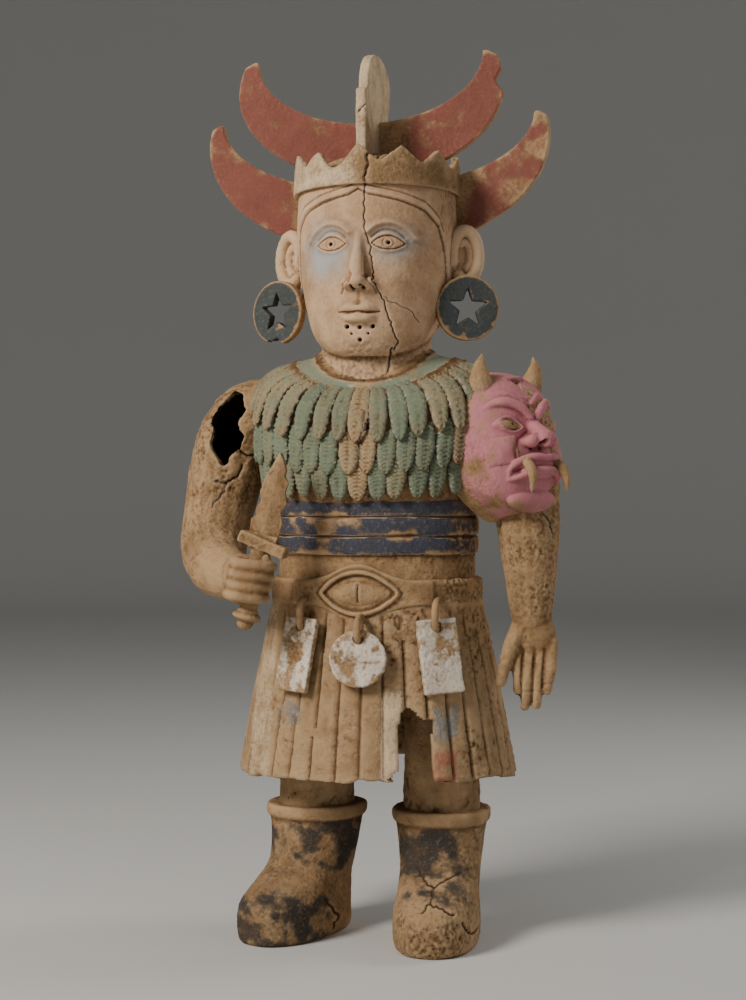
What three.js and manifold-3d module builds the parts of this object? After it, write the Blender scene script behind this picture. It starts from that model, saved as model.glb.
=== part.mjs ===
// A standing haniwa figure of fired clay, with three clay tags hung on its belt.
// Millimetres, +Z up. The figure faces -Y, and +X is its left-hand side. It stands on z = 0.
import * as THREE from "three";
import { LoftGeometry } from "three/addons/geometries/LoftGeometry.js";
import { mergeVertices } from "three/addons/utils/BufferGeometryUtils.js";
import Module from "manifold-3d";

const wasm = await Module();
wasm.setup();

// ---- Driving dimensions ----

const WALL = 14; // thickness of the clay wall
const AXIS_Y = 19; // the body's upright axis stands this far behind the middle of the plan

const LEVEL = {
  bootTop: 168,
  hem: 217,
  hip: 425,
  beltLow: 437,
  beltHigh: 472,
  bandsLow: 504,
  bandsHigh: 577,
  shoulder: 688,
  ears: 900,
  crownLow: 980,
  crownHigh: 1016,
  dome: 1048,
  finTop: 1172,
};

// Sections of the body under the cape as [z, half width, half depth]. The waist bands stand out from it.
const TRUNK = { waist: [132, 96], bands: 3, groove: 3, proud: 6, top: [142, 100] };
const NECK = [
  [735, 84, 72, 0],
  [760, 77, 68, -2],
  [830, 72, 66, -4],
];
const HEAD = [
  [763, 34, 26, -58],
  [772, 58, 54, -40],
  [792, 78, 81, -21],
  [824, 91, 99, -8],
  [868, 100, 108, 0],
  [925, 103, 111, 0],
  [978, 102, 109, 2],
  [1010, 92, 98, 3],
  [1033, 66, 72, 3],
  [LEVEL.dome, 18, 20, 3],
];

const SKIRT = {
  top: [LEVEL.beltLow + 4, 142, 106],
  middle: [330, 166, 127],
  hem: [LEVEL.hem, 187, 146],
  pleats: 30,
  groove: 3.5,
};

const SHOULDER_X = 180;
const ARM_RADIUS = 52;

// ---- Solids from geometries ----

function solidOf(geometry) {
  const plain = new THREE.BufferGeometry().copy(geometry);
  plain.deleteAttribute("normal");
  plain.deleteAttribute("uv");
  const merged = mergeVertices(plain, 1e-3);
  const index = merged.index.array;
  const triVerts = [];
  for (let i = 0; i < index.length; i += 3) {
    const [a, b, c] = index.slice(i, i + 3);
    if (a !== b && b !== c && c !== a) triVerts.push(a, b, c);
  }
  return new wasm.Manifold(
    new wasm.Mesh({
      numProp: 3,
      vertProperties: merged.attributes.position.array,
      triVerts: new Uint32Array(triVerts),
    }),
  );
}

function geometryOf(solid) {
  const mesh = solid.getMesh();
  const geometry = new THREE.BufferGeometry();
  geometry.setAttribute("position", new THREE.BufferAttribute(mesh.vertProperties, 3));
  geometry.setIndex(new THREE.BufferAttribute(mesh.triVerts, 1));
  return geometry;
}

function joined(solids) {
  return solids.reduce((whole, next) => whole.add(next));
}

const radians = THREE.MathUtils.degToRad;

// Places a geometry by a position and by turns about X, then Y, then Z, in degrees.
function placed(geometry, at, turn = [0, 0, 0]) {
  const matrix = new THREE.Matrix4().makeRotationFromEuler(
    new THREE.Euler(...turn.map(radians), "ZYX"),
  );
  matrix.setPosition(...at);
  return geometry.applyMatrix4(matrix);
}

function ellipsoid(at, radii, across = 12, down = 8, turn = [0, 0, 0]) {
  const geometry = new THREE.SphereGeometry(1, across, down).rotateX(Math.PI / 2).scale(...radii);
  return solidOf(placed(geometry, at, turn));
}

// A level ring of points. Power 2 gives an ellipse, more gives a squarer outline.
function ring(z, halfWidth, halfDepth, shift, count, power = 2) {
  const points = [];
  for (let i = 0; i < count; i++) {
    const angle = (i / count) * 2 * Math.PI;
    const c = Math.cos(angle);
    const s = Math.sin(angle);
    points.push(
      new THREE.Vector3(
        halfWidth * Math.sign(c) * Math.abs(c) ** (2 / power),
        shift + halfDepth * Math.sign(s) * Math.abs(s) ** (2 / power),
        z,
      ),
    );
  }
  return points;
}

function loft(sections) {
  return new LoftGeometry(sections, { capStart: true, capEnd: true });
}

function stacked(rows, count, power = 2) {
  return solidOf(loft(rows.map(([z, w, d, shift]) => ring(z, w, d, shift, count, power))));
}

// A limb, finger or horn: stations of [x, y, z, radius] joined by a smooth round tube with blunt ends.
function limb(stations, sides = 12, steps = 1) {
  const curve = new THREE.CatmullRomCurve3(stations.map(([x, y, z]) => new THREE.Vector3(x, y, z)));
  const last = stations.length - 1;
  const sections = [];
  const addRing = (t, radius, along) => {
    const centre = curve.getPoint(t);
    const tangent = curve.getTangent(t);
    const side = new THREE.Vector3(0, 1, 0);
    if (Math.abs(tangent.y) > 0.9) side.set(1, 0, 0);
    const u = side.clone().cross(tangent).normalize();
    const v = tangent.clone().cross(u).normalize();
    centre.addScaledVector(tangent, along);
    const points = [];
    for (let i = 0; i < sides; i++) {
      const angle = (i / sides) * 2 * Math.PI;
      points.push(
        centre
          .clone()
          .addScaledVector(u, radius * Math.cos(angle))
          .addScaledVector(v, radius * Math.sin(angle)),
      );
    }
    sections.push(points);
  };
  const radiusAt = (t) => {
    const place = t * last;
    const i = Math.min(Math.floor(place), last - 1);
    return THREE.MathUtils.lerp(stations[i][3], stations[i + 1][3], place - i);
  };
  const total = last * steps;
  addRing(0, radiusAt(0) * 0.6, -radiusAt(0) * 0.45);
  for (let i = 0; i <= total; i++) addRing(i / total, radiusAt(i / total), 0);
  addRing(1, radiusAt(1) * 0.6, radiusAt(1) * 0.45);
  return solidOf(loft(sections));
}

// A flat plate from an outline in X and Z, its thickness along Y, with its middle at y = 0.
function plate(shape, thickness, curveSegments = 8) {
  const geometry = new THREE.ExtrudeGeometry(shape, {
    depth: thickness,
    bevelEnabled: false,
    curveSegments,
  });
  return geometry.rotateX(Math.PI / 2).translate(0, thickness / 2, 0);
}

function shapeOf(points) {
  return new THREE.Shape(points.map(([x, y]) => new THREE.Vector2(x, y)));
}

// ---- Head ----

function face() {
  const parts = [
    ellipsoid([0, -112, 878], [9, 14, 34], 8, 5, [-14, 0, 0]),
    ellipsoid([0, -118, 855], [17, 15, 12], 8, 5),
    ellipsoid([0, -101, 819], [28, 12, 11], 8, 4),
    ellipsoid([0, -84, 786], [26, 20, 17], 8, 5),
  ];
  for (const side of [-1, 1])
    parts.push(ellipsoid([side * 38, -90, 908], [23, 14, 15], 8, 5, [0, 0, side * 20]));
  return joined(parts);
}

function ear(side) {
  const rim = new THREE.Shape().absellipse(0, 0, 22, 37, 0, 2 * Math.PI);
  const hollow = new THREE.Shape().absellipse(side * 2, 4, 12, 22, 0, 2 * Math.PI);
  const turn = [0, 0, side * 32];
  const at = [side * 118, 4, LEVEL.ears];
  const shell = solidOf(placed(plate(rim, 20, 9), at, turn));
  const dish = solidOf(placed(plate(hollow, 14, 6).translate(0, -10, 0), at, turn));
  const lobe = ellipsoid([side * 121, -4, 870], [11, 11, 26], 6, 5);
  return shell.subtract(dish).add(lobe);
}

const DISC = { radius: 43, thickness: 13, x: 129, y: -16, z: 828, turn: 25, shift: -3 };

function starShape(outer, inner, points) {
  const outline = [];
  for (let i = 0; i < 2 * points; i++) {
    const angle = Math.PI / 2 + (i * Math.PI) / points;
    const radius = i % 2 ? inner : outer;
    outline.push([radius * Math.cos(angle), radius * Math.sin(angle)]);
  }
  return shapeOf(outline);
}

function earDisc(side) {
  const disc = new THREE.Shape().absarc(0, 0, DISC.radius, 0, 2 * Math.PI);
  const place = (geometry) =>
    solidOf(placed(geometry, [side * DISC.x + DISC.shift, DISC.y, DISC.z], [0, 0, side * DISC.turn]));
  let made = place(plate(disc, DISC.thickness, 11));
  made = made.subtract(place(plate(starShape(29, 12, 5), 2 * DISC.thickness)));
  if (side < 0) {
    const chip = new THREE.CylinderGeometry(9, 11, 3 * DISC.thickness, 7).translate(2, 0, -DISC.radius - 2);
    made = made.subtract(place(chip));
  }
  return made;
}

// ---- Headdress ----

const CROWN = { halfWidth: 111, halfDepth: 117, wall: 9, points: 12, rise: 15, shift: 2 };

function crown() {
  const count = CROWN.points * 4;
  const outer = (z, grow) => ring(z, CROWN.halfWidth + grow, CROWN.halfDepth + grow, CROWN.shift, count);
  const top = outer(LEVEL.crownHigh, 0);
  top.forEach((p, i) => {
    const place = (((i + count / 4) * CROWN.points) / count) % 1;
    p.z += CROWN.rise * Math.max(0, 1 - 3 * Math.min(place, 1 - place));
  });
  const wall = solidOf(loft([outer(LEVEL.crownLow, -1), outer(LEVEL.crownLow + 4, 1), top]));
  const inner = (z) =>
    ring(z, CROWN.halfWidth - CROWN.wall, CROWN.halfDepth - CROWN.wall, CROWN.shift, 24);
  const hollow = solidOf(loft([inner(LEVEL.crownLow - 10), inner(LEVEL.crownHigh + 40)]));
  const chip = solidOf(
    placed(new THREE.BoxGeometry(34, 60, 30), [-32, -110, LEVEL.crownHigh + 14], [0, -6, 0]),
  );
  return wall.subtract(hollow).subtract(chip);
}

const PLATE = 14; // thickness of the fin and the crescents

function fin() {
  const foot = LEVEL.crownHigh - 10;
  const outline = new THREE.Shape();
  outline.moveTo(-78, foot);
  outline.lineTo(-78, 1112);
  outline.lineTo(-62, 1118);
  outline.bezierCurveTo(-58, 1150, -34, LEVEL.finTop, 0, LEVEL.finTop);
  outline.bezierCurveTo(34, LEVEL.finTop, 74, 1164, 70, 1140);
  outline.lineTo(56, 1092);
  outline.lineTo(54, foot);
  return solidOf(plate(outline, PLATE, 6).rotateZ(Math.PI / 2).translate(-4, 0, 0));
}

// A crescent standing on its back, seen from the front. Both edges are lower halves of ellipses, the outer one
// carried on upwards to the blunt tips.
const UPPER_CRESCENT = { x: -11, y: 6, centreZ: 1128, outer: [183, 119], inner: [155, 90], tipZ: LEVEL.finTop };
const LOWER_CRESCENT = { x: -7, y: 30, centreZ: 1060, outer: [237, 148], inner: [216, 97], tipZ: 1094 };

function crescent({ x, y, centreZ, outer, inner, tipZ }) {
  const outline = [];
  const steps = 12;
  for (let i = 0; i <= steps; i++) {
    const angle = Math.PI * (i / steps);
    outline.push([-outer[0] * Math.cos(angle), centreZ - outer[1] * Math.sin(angle)]);
  }
  outline.push([outer[0] - 10, tipZ - 5]);
  for (let i = 0; i <= steps; i++) {
    const angle = Math.PI * (i / steps);
    outline.push([inner[0] * Math.cos(angle), tipZ - inner[1] * Math.sin(angle)]);
  }
  outline.push([10 - outer[0], tipZ - 5]);
  return solidOf(plate(shapeOf(outline), PLATE).translate(x, y, 0));
}

function headdress() {
  const hornChip = new THREE.CylinderGeometry(10, 10, 60, 6).scale(0.7, 1, 2.2);
  const chipped = crescent(UPPER_CRESCENT).subtract(solidOf(hornChip.translate(173, UPPER_CRESCENT.y, 1142)));
  return joined([crown(), fin(), chipped, crescent(LOWER_CRESCENT)]);
}

function head() {
  return joined([
    stacked(HEAD, 24),
    stacked(NECK, 20),
    face(),
    ear(-1),
    ear(1),
    earDisc(-1),
    earDisc(1),
    headdress(),
  ]);
}

// ---- Body ----

function trunk() {
  const { waist, bands, groove, proud, top } = TRUNK;
  const rows = [
    [LEVEL.hip - 8, ...waist, 0],
    [LEVEL.bandsLow, ...waist, 0],
  ];
  const pitch = (LEVEL.bandsHigh - LEVEL.bandsLow + groove) / bands;
  for (let i = 0; i < bands; i++) {
    const low = LEVEL.bandsLow + i * pitch;
    const widths = waist.map((half) => half + proud + i);
    rows.push([low + 1, ...widths, 0], [low + pitch - groove, ...widths, 0]);
    if (i < bands - 1) rows.push([low + pitch - groove / 2, ...waist.map((half) => half + 3 + i), 0]);
  }
  rows.push([LEVEL.bandsHigh + 1, ...top, 0], [700, ...top, 0]);
  return stacked(rows, 24, 2.2);
}

const BUCKLE = { z: 455, halfWidth: 68, halfHeight: 38, y: -104 };

// The outline of an eye: two arcs that meet in points.
function almond(halfWidth, halfHeight, z) {
  const outline = new THREE.Shape();
  outline.moveTo(-halfWidth, z);
  outline.quadraticCurveTo(0, z - 2 * halfHeight, halfWidth, z);
  outline.quadraticCurveTo(0, z + 2 * halfHeight, -halfWidth, z);
  return outline;
}

// Bends a flat piece round the front of an upright elliptical body.
function wrapped(geometry, halfWidth, halfDepth) {
  const position = geometry.attributes.position;
  for (let i = 0; i < position.count; i++) {
    const x = position.getX(i);
    const away = Math.sqrt(Math.max(0, 1 - (x / halfWidth) ** 2));
    position.setY(i, position.getY(i) - halfDepth * away);
  }
  return geometry;
}

function belt() {
  const strap = stacked(
    [
      [LEVEL.beltLow, 141, 105, 0],
      [LEVEL.beltLow + 2, 143, 107, 0],
      [LEVEL.beltHigh - 2, 143, 107, 0],
      [LEVEL.beltHigh, 141, 105, 0],
    ],
    24,
  );
  const { z, halfWidth, halfHeight } = BUCKLE;
  const layer = (w, h, thickness, out) =>
    solidOf(wrapped(plate(almond(w, h, z), thickness, 6).translate(0, -out, 0), 143, 101));
  const rim = layer(halfWidth, halfHeight, 20, 2);
  const socket = layer(50, 24, 14, 12);
  const ball = layer(42, 18, 10, 6);
  const slit = solidOf(new THREE.BoxGeometry(4, 14, 22).translate(0, -116, z));
  return strap.add(rim).subtract(socket).add(ball).subtract(slit);
}

function skirtRing([z, halfWidth, halfDepth], groove) {
  const profile = [1, 0, 0]; // where a groove lies among the points of each pleat
  const points = ring(z, halfWidth, halfDepth, 0, SKIRT.pleats * profile.length);
  points.forEach((p, i) => {
    const shrink = 1 - (profile[i % profile.length] * groove) / Math.hypot(p.x, p.y);
    p.x *= shrink;
    p.y *= shrink;
  });
  return points;
}

function skirt() {
  const { top, middle, hem, groove } = SKIRT;
  const outer = solidOf(loft([skirtRing(hem, groove), skirtRing(middle, groove), skirtRing(top, 0)]));
  const thin = ([z, w, d]) => [z, w - WALL, d - WALL, 0];
  const flared = [hem[0] - 20, hem[1] + 2, hem[2] + 2];
  const hollow = stacked([thin(flared), thin(middle), [LEVEL.hip - 15, 128, 92, 0]], 28);
  const broken = shapeOf([
    [59, 190],
    [97, 190],
    [98, 294],
    [86, 290],
    [76, 299],
    [68, 309],
    [60, 305],
  ]);
  const slot = solidOf(plate(broken, 120).translate(0, -120, 0));
  return outer.subtract(hollow).subtract(slot);
}

// ---- Legs and boots ----

// Each boot as [z, half width, half length, how far its middle lies towards the toe].
const BOOT = [
  [0, 51, 94, -50],
  [9, 55, 98, -51],
  [42, 55, 97, -50],
  [68, 52, 80, -33],
  [96, 53, 59, -10],
  [146, 60, 61, 0],
  [154, 68, 69, 0],
  [LEVEL.bootTop, 70, 70, 0],
];

const LEGS = [
  { x: -84, y: 2, turn: -19 },
  { x: 90, y: -8, turn: 4 },
];

function leg({ x, y, turn }) {
  const boot = loft(BOOT.map(([z, w, l, shift]) => ring(z, w, l, shift, 14, 2.3)));
  const calf = loft([
    ring(LEVEL.bootTop - 30, 52, 52, 0, 12),
    ring(LEVEL.hip - 4, 48, 50, 0, 12),
  ]);
  return solidOf(placed(boot, [x, y, 0], [0, 0, turn])).add(solidOf(placed(calf, [x, y, 0])));
}

// ---- Arms and hands ----

const RIGHT_ARM = [
  [-120, 0, 690, 46],
  [-SHOULDER_X, 0, LEVEL.shoulder, ARM_RADIUS + 2],
  [-206, -1, 640, 52],
  [-216, -6, 580, 50],
  [-222, -18, 524, 47],
  [-202, -68, 488, 42],
  [-165, -118, 476, 34],
];
const LEFT_ARM = [
  [120, 0, 690, 46],
  [SHOULDER_X, 0, LEVEL.shoulder, ARM_RADIUS + 2],
  [196, 0, 630, 50],
  [203, -2, 570, 45],
  [207, -3, 515, 39],
  [209, -4, 460, 34],
  [210, -5, 416, 30],
];

// The knife's own axis leans to the figure's left as it rises.
const KNIFE = { x: -126, y: -152, z: 473, lean: 13 };

function fist() {
  const { x, y, z } = KNIFE;
  const parts = [ellipsoid([x - 20, y + 8, z - 2], [25, 27, 33], 10, 6)];
  const fingers = 4;
  for (let i = 0; i < fingers; i++) {
    const up = z + 19 - i * 13.5;
    const lean = (i - 1.5) * -3;
    parts.push(
      limb(
        [
          [x - 28 + lean, y - 2, up + 2, 8],
          [x - 12 + lean, y - 24, up, 8],
          [x + 14 + lean, y - 20, up - 2, 7.5],
          [x + 22 + lean, y + 2, up - 3, 7],
        ],
        5,
      ),
    );
  }
  parts.push(
    limb(
      [
        [x - 22, y + 22, z + 6, 11],
        [x + 2, y + 24, z + 12, 10],
        [x + 20, y + 8, z + 8, 8.5],
      ],
      6,
    ),
  );
  return joined(parts);
}

function knife() {
  const blade = shapeOf([
    [-19, 54],
    [-21, 78],
    [-15, 84],
    [-18, 114],
    [-14, 138],
    [-1, 167],
    [9, 155],
    [16, 139],
    [19, 95],
    [20, 54],
  ]);
  const guard = new THREE.BoxGeometry(64, 26, 13).rotateY(radians(9)).translate(2, 0, 47);
  const grip = new THREE.CylinderGeometry(13, 12, 96, 8).rotateX(Math.PI / 2).translate(0, 0, 4);
  const pommel = new THREE.LatheGeometry(
    [
      [0, -66],
      [9, -64],
      [12, -57],
      [19, -50],
      [18, -44],
      [12, -40],
      [0, -38],
    ].map(([r, h]) => new THREE.Vector2(r, h)),
    10,
  ).rotateX(Math.PI / 2);
  const parts = [plate(blade, 14), guard, grip, pommel];
  const place = (geometry) => solidOf(placed(geometry, [KNIFE.x, KNIFE.y, KNIFE.z], [0, KNIFE.lean, 0]));
  return joined(parts.map(place));
}

// The left hand hangs with its back to the front: the forefinger's tip is broken off.
const FINGERS = [
  { knuckle: 194, tip: 196, end: 322 },
  { knuckle: 209, tip: 205, end: 301 },
  { knuckle: 224, tip: 220, end: 303 },
  { knuckle: 237, tip: 234, end: 322 },
];

function openHand() {
  const parts = [ellipsoid([213, -9, 394], [31, 19, 40], 10, 6)];
  for (const { knuckle, tip, end } of FINGERS)
    parts.push(
      limb(
        [
          [knuckle, -12, 384, 9.5],
          [knuckle, -18, 358, 9.5],
          [tip, -21, (358 + end) / 2, 8.5],
          [tip - 2, -18, end, 7],
        ],
        5,
      ),
    );
  parts.push(
    limb(
      [
        [196, -16, 404, 13],
        [182, -26, 378, 11],
        [175, -32, 352, 9.5],
        [173, -33, 338, 8],
      ],
      6,
    ),
  );
  return joined(parts);
}

// The right shoulder is broken open on to the hollow arm.
function shoulderBreak() {
  const hollow = limb(
    [
      [-136, 0, 700, 26],
      [-178, 0, 690, ARM_RADIUS - WALL],
      [-205, -1, 640, 52 - WALL],
      [-213, -4, 596, 30],
    ],
    10,
  );
  const edge = shapeOf([
    [-176, 716],
    [-190, 722],
    [-212, 700],
    [-219, 684],
    [-215, 668],
    [-220, 648],
    [-206, 626],
    [-198, 619],
    [-190, 636],
    [-178, 646],
    [-172, 662],
    [-180, 676],
    [-171, 694],
  ]);
  return hollow.add(solidOf(plate(edge, 90).translate(0, -45, 0)));
}

// ---- Demon mask on the left shoulder ----

const MASK = { at: [165, 0, 646], turn: 52, lean: -15, halfWidth: 87, halfHeight: 104, depth: 76 };

// Places pieces made in the mask's own frame: x to its left, z up, -y out of its face.
function onMask(solids) {
  const matrix = new THREE.Matrix4()
    .makeRotationFromEuler(new THREE.Euler(radians(MASK.lean), 0, radians(MASK.turn), "ZYX"))
    .setPosition(...MASK.at);
  return joined(solids).transform(matrix.elements);
}

function maskShell() {
  const { halfWidth, halfHeight, depth } = MASK;
  const geometry = new THREE.SphereGeometry(1, 16, 10).rotateX(Math.PI / 2);
  const position = geometry.attributes.position;
  for (let i = 0; i < position.count; i++) {
    const z = position.getZ(i);
    const jaw = z < 0 ? 1 - 0.12 * z * z : 1; // the jaw stays wide
    position.setXYZ(
      i,
      position.getX(i) * halfWidth * jaw,
      position.getY(i) * depth * jaw,
      Math.max(z * halfHeight * 1.12, -halfHeight),
    );
  }
  const whole = solidOf(geometry);
  const back = solidOf(new THREE.BoxGeometry(300, 100, 300).translate(0, 62, 0));
  return whole.subtract(back);
}

function demonMask() {
  const solids = [
    maskShell(),
    ellipsoid([0, -80, 2], [11, 20, 30], 8, 5, [-12, 0, 0]),
    ellipsoid([0, -92, -13], [21, 16, 12], 8, 5),
    ellipsoid([0, -66, -40], [42, 20, 15], 10, 5),
    ellipsoid([0, -60, -78], [36, 16, 18], 8, 5),
  ];
  for (const side of [-1, 1]) {
    solids.push(
      ellipsoid([side * 34, -62, 20], [20, 14, 11], 8, 5, [0, 0, side * 24]),
      limb(
        [
          [side * 5, -76, 26, 6],
          [side * 24, -72, 44, 7],
          [side * 46, -56, 44, 6],
          [side * 64, -42, 30, 4],
        ],
        5,
      ),
      limb(
        [
          [side * 40, -36, 66, 19],
          [side * 46, -46, 84, 14],
          [side * 48, -54, 98, 9],
          [side * 47, -58, 108, 4],
        ],
        6,
      ),
      limb(
        [
          [side * 30, -72, -34, 8],
          [side * 32, -84, -48, 8],
          [side * 34, -86, -64, 5.5],
          [side * 35, -82, -74, 3],
        ],
        5,
      ),
    );
  }
  const triangle = shapeOf([
    [-17, 78],
    [0, 44],
    [17, 78],
  ]);
  const inner = shapeOf([
    [-8, 73],
    [0, 57],
    [8, 73],
  ]);
  const raised = solidOf(plate(triangle, 20).translate(0, -66, 0));
  const recess = solidOf(plate(inner, 20).translate(0, -76, 0));
  return onMask(solids.concat(raised)).subtract(onMask([recess]));
}

// ---- Feather cape ----

// The cape from the neck down, as [half width, half depth, height in front, height at the sides].
// Each row of feathers ends in scalloped tips, and the next row starts under them.
const FEATHERS = { count: 30, notch: 14, groove: 3, lip: 9 };
const CAPE_NECK = [
  [84, 68, 762, 766],
  [146, 92, 720, 746],
];
const CAPE_TIPS = [
  [169, 113, 658, 690],
  [162, 115, 617, 640],
  [148, 109, 578, 588],
];

function featherRing([halfWidth, halfDepth, front, side], row, rise) {
  const pointsEach = 3;
  const count = FEATHERS.count * pointsEach;
  const points = ring(0, halfWidth, halfDepth, 0, count, 2.2);
  points.forEach((p, i) => {
    const phase = (i / pointsEach + (row % 2) / 2) % 1;
    const between = Math.abs(1 - 2 * phase); // 0 down the middle of a feather, 1 between two of them
    const shrink = 1 - (between ** 4 * FEATHERS.groove) / Math.hypot(p.x, p.y);
    const frontness = Math.sin((i / count) * 2 * Math.PI) ** 2;
    p.z = side + (front - side) * frontness + rise * between ** 2;
    p.x *= shrink;
    p.y *= shrink;
  });
  return points;
}

function cape() {
  const { lip, notch } = FEATHERS;
  const sections = CAPE_NECK.map((station) => featherRing(station, 0, 0));
  CAPE_TIPS.forEach((station, row) => {
    const [halfWidth, halfDepth, front, side] = station;
    sections.push(featherRing(station, row, notch));
    sections.push(featherRing([halfWidth - lip, halfDepth - lip, front - 2, side - 2], row, notch));
  });
  return solidOf(loft(sections.reverse()));
}

function collar() {
  return stacked(
    [
      [736, 96, 84, -4],
      [744, 97, 85, -4],
      [764, 80, 70, -3],
    ],
    20,
  );
}

// ---- Tags and their loops ----

const TAGS = [
  { name: "left_tag", x: -75, width: 50, height: 96, lean: 4 },
  { name: "round_tag", x: 5, radius: 37, lean: 0 },
  { name: "right_tag", x: 100, width: 54, height: 96, lean: -4 },
];
const TAG_THICKNESS = 9;
const TAG_HOLE = 8;
const TAG_HOLE_DROP = 11;

// The skirt's front slopes outwards as it falls, and each tag lies along it.
const FLARE = THREE.MathUtils.radToDeg(Math.atan2(SKIRT.hem[2] - SKIRT.top[2], SKIRT.top[0] - SKIRT.hem[0]));

function frontOfSkirt(x, z) {
  const [[topZ, topW, topD], [lowZ, lowW, lowD]] = [SKIRT.top, SKIRT.hem];
  const t = (topZ - z) / (topZ - lowZ);
  const w = topW + t * (lowW - topW);
  const d = topD + t * (lowD - topD);
  return -d * Math.sqrt(1 - (x / w) ** 2);
}

function tagPlace({ x, radius }) {
  const holeZ = radius ? 398 : 412;
  const yaw = Math.atan2(x * 0.85, 150) / radians(1);
  return { at: [x, frontOfSkirt(x, holeZ) - TAG_THICKNESS / 2 - 9, holeZ], turn: [-FLARE, 0, yaw] };
}

function tag(spec) {
  const outline = new THREE.Shape();
  if (spec.radius) {
    outline.absarc(0, TAG_HOLE_DROP - spec.radius, spec.radius, 0, 2 * Math.PI);
  } else {
    const { width: w, height: h } = spec;
    outline.moveTo(-w / 2, TAG_HOLE_DROP - h);
    outline.lineTo(w / 2, TAG_HOLE_DROP - h);
    outline.lineTo(w / 2, TAG_HOLE_DROP);
    outline.lineTo(-w / 2, TAG_HOLE_DROP);
  }
  outline.holes.push(new THREE.Path().absarc(0, 0, TAG_HOLE, 0, 2 * Math.PI, true));
  const { at, turn } = tagPlace(spec);
  const hung = plate(outline, TAG_THICKNESS, 12).rotateY(radians(spec.lean));
  return solidOf(placed(hung, at, turn));
}

// A strap of clay from the belt, over the tag's top edge and through its hole.
function loop(spec) {
  const { at } = tagPlace(spec);
  const [x, y, z] = at;
  const inside = frontOfSkirt(x, z) + 6;
  const start = spec.radius ? BUCKLE.z - BUCKLE.halfHeight + 4 : LEVEL.beltLow + 4;
  const front = y - TAG_THICKNESS - 1.5;
  return limb(
    [
      [x, frontOfSkirt(x, start) + 4, start + 6, 4],
      [x, front + 4, start - 4, 4.2],
      [x, front, z + 8, 4.2],
      [x, front + 5, z - 0.5, 4],
      [x, inside, z - 1.5, 3.6],
    ],
    8,
    2,
  );
}

// ---- Assembly ----

function body() {
  return joined([
    trunk(),
    limb(RIGHT_ARM, 12),
    limb(LEFT_ARM, 12),
    cape(),
    collar(),
    belt(),
    skirt(),
    leg(LEGS[0]),
    leg(LEGS[1]),
    fist(),
    knife(),
    openHand(),
    demonMask(),
    ...TAGS.map(loop),
  ]).subtract(shoulderBreak());
}

function mesh(name, solid, material) {
  const made = new THREE.Mesh(geometryOf(solid), material);
  made.name = name;
  made.position.y = AXIS_Y;
  return made;
}

const clay = new THREE.MeshStandardMaterial({ color: 0xb08e66, roughness: 0.95, metalness: 0 });
const whitened = new THREE.MeshStandardMaterial({ color: 0xd9d2c4, roughness: 0.9, metalness: 0 });

const haniwa = new THREE.Group();
const level = solidOf(new THREE.BoxGeometry(900, 900, 20).translate(0, 0, -10));
haniwa.add(mesh("figure", head().add(body()).subtract(level).simplify(0.5), clay));
for (const spec of TAGS) haniwa.add(mesh(spec.name, tag(spec), whitened));

export default haniwa;
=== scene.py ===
import math

import bpy
import numpy as np
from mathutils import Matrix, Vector


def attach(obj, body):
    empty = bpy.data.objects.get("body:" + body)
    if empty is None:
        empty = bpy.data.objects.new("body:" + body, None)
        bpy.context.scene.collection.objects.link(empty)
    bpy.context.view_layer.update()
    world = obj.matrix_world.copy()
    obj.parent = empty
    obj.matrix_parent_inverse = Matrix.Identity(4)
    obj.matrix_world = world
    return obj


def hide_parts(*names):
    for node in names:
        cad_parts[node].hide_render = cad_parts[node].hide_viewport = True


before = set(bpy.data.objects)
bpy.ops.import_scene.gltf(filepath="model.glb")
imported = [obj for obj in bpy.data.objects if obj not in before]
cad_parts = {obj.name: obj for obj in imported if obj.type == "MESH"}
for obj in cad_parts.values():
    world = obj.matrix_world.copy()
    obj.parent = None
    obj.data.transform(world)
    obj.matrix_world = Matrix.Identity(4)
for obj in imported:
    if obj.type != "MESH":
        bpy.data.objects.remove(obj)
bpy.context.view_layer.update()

mm = 0.001
axisY = 19  # the figure's upright axis stands this far behind the middle of its plan
coarse = 1.0  # rougher skins while trying things


# Small helpers. Sizes are in millimetres about the figure's upright axis.

def clearSelection():
    if bpy.context.object and bpy.context.object.mode != "OBJECT":
        bpy.ops.object.mode_set(mode="OBJECT")
    bpy.ops.object.select_all(action="DESELECT")


def pick(*objects):
    clearSelection()
    for o in objects:
        o.select_set(True)
    bpy.context.view_layer.objects.active = objects[0]
    return objects[0]


def place(o, at=(0, 0, 0), turn=(0, 0, 0)):
    o.location = Vector(at) * mm
    o.rotation_euler = [math.radians(t) for t in turn]
    pick(o)
    bpy.ops.object.transform_apply(location=True, rotation=True, scale=True)
    return o


def ball(at, radii, turn=(0, 0, 0), segments=28):
    clearSelection()
    bpy.ops.mesh.primitive_uv_sphere_add(segments=segments, ring_count=segments // 2, radius=mm)
    bpy.context.object.scale = radii
    return place(bpy.context.object, at, turn)


def block(at, size, turn=(0, 0, 0), edge=0):
    clearSelection()
    bpy.ops.mesh.primitive_cube_add(size=mm)
    o = bpy.context.object
    o.scale = size
    place(o)
    if edge:
        bpy.ops.object.mode_set(mode="EDIT")
        bpy.ops.mesh.select_all(action="SELECT")
        bpy.ops.mesh.bevel(offset=edge * mm, segments=2, affect="EDGES")
        bpy.ops.object.mode_set(mode="OBJECT")
    return place(o, at, turn)


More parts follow.
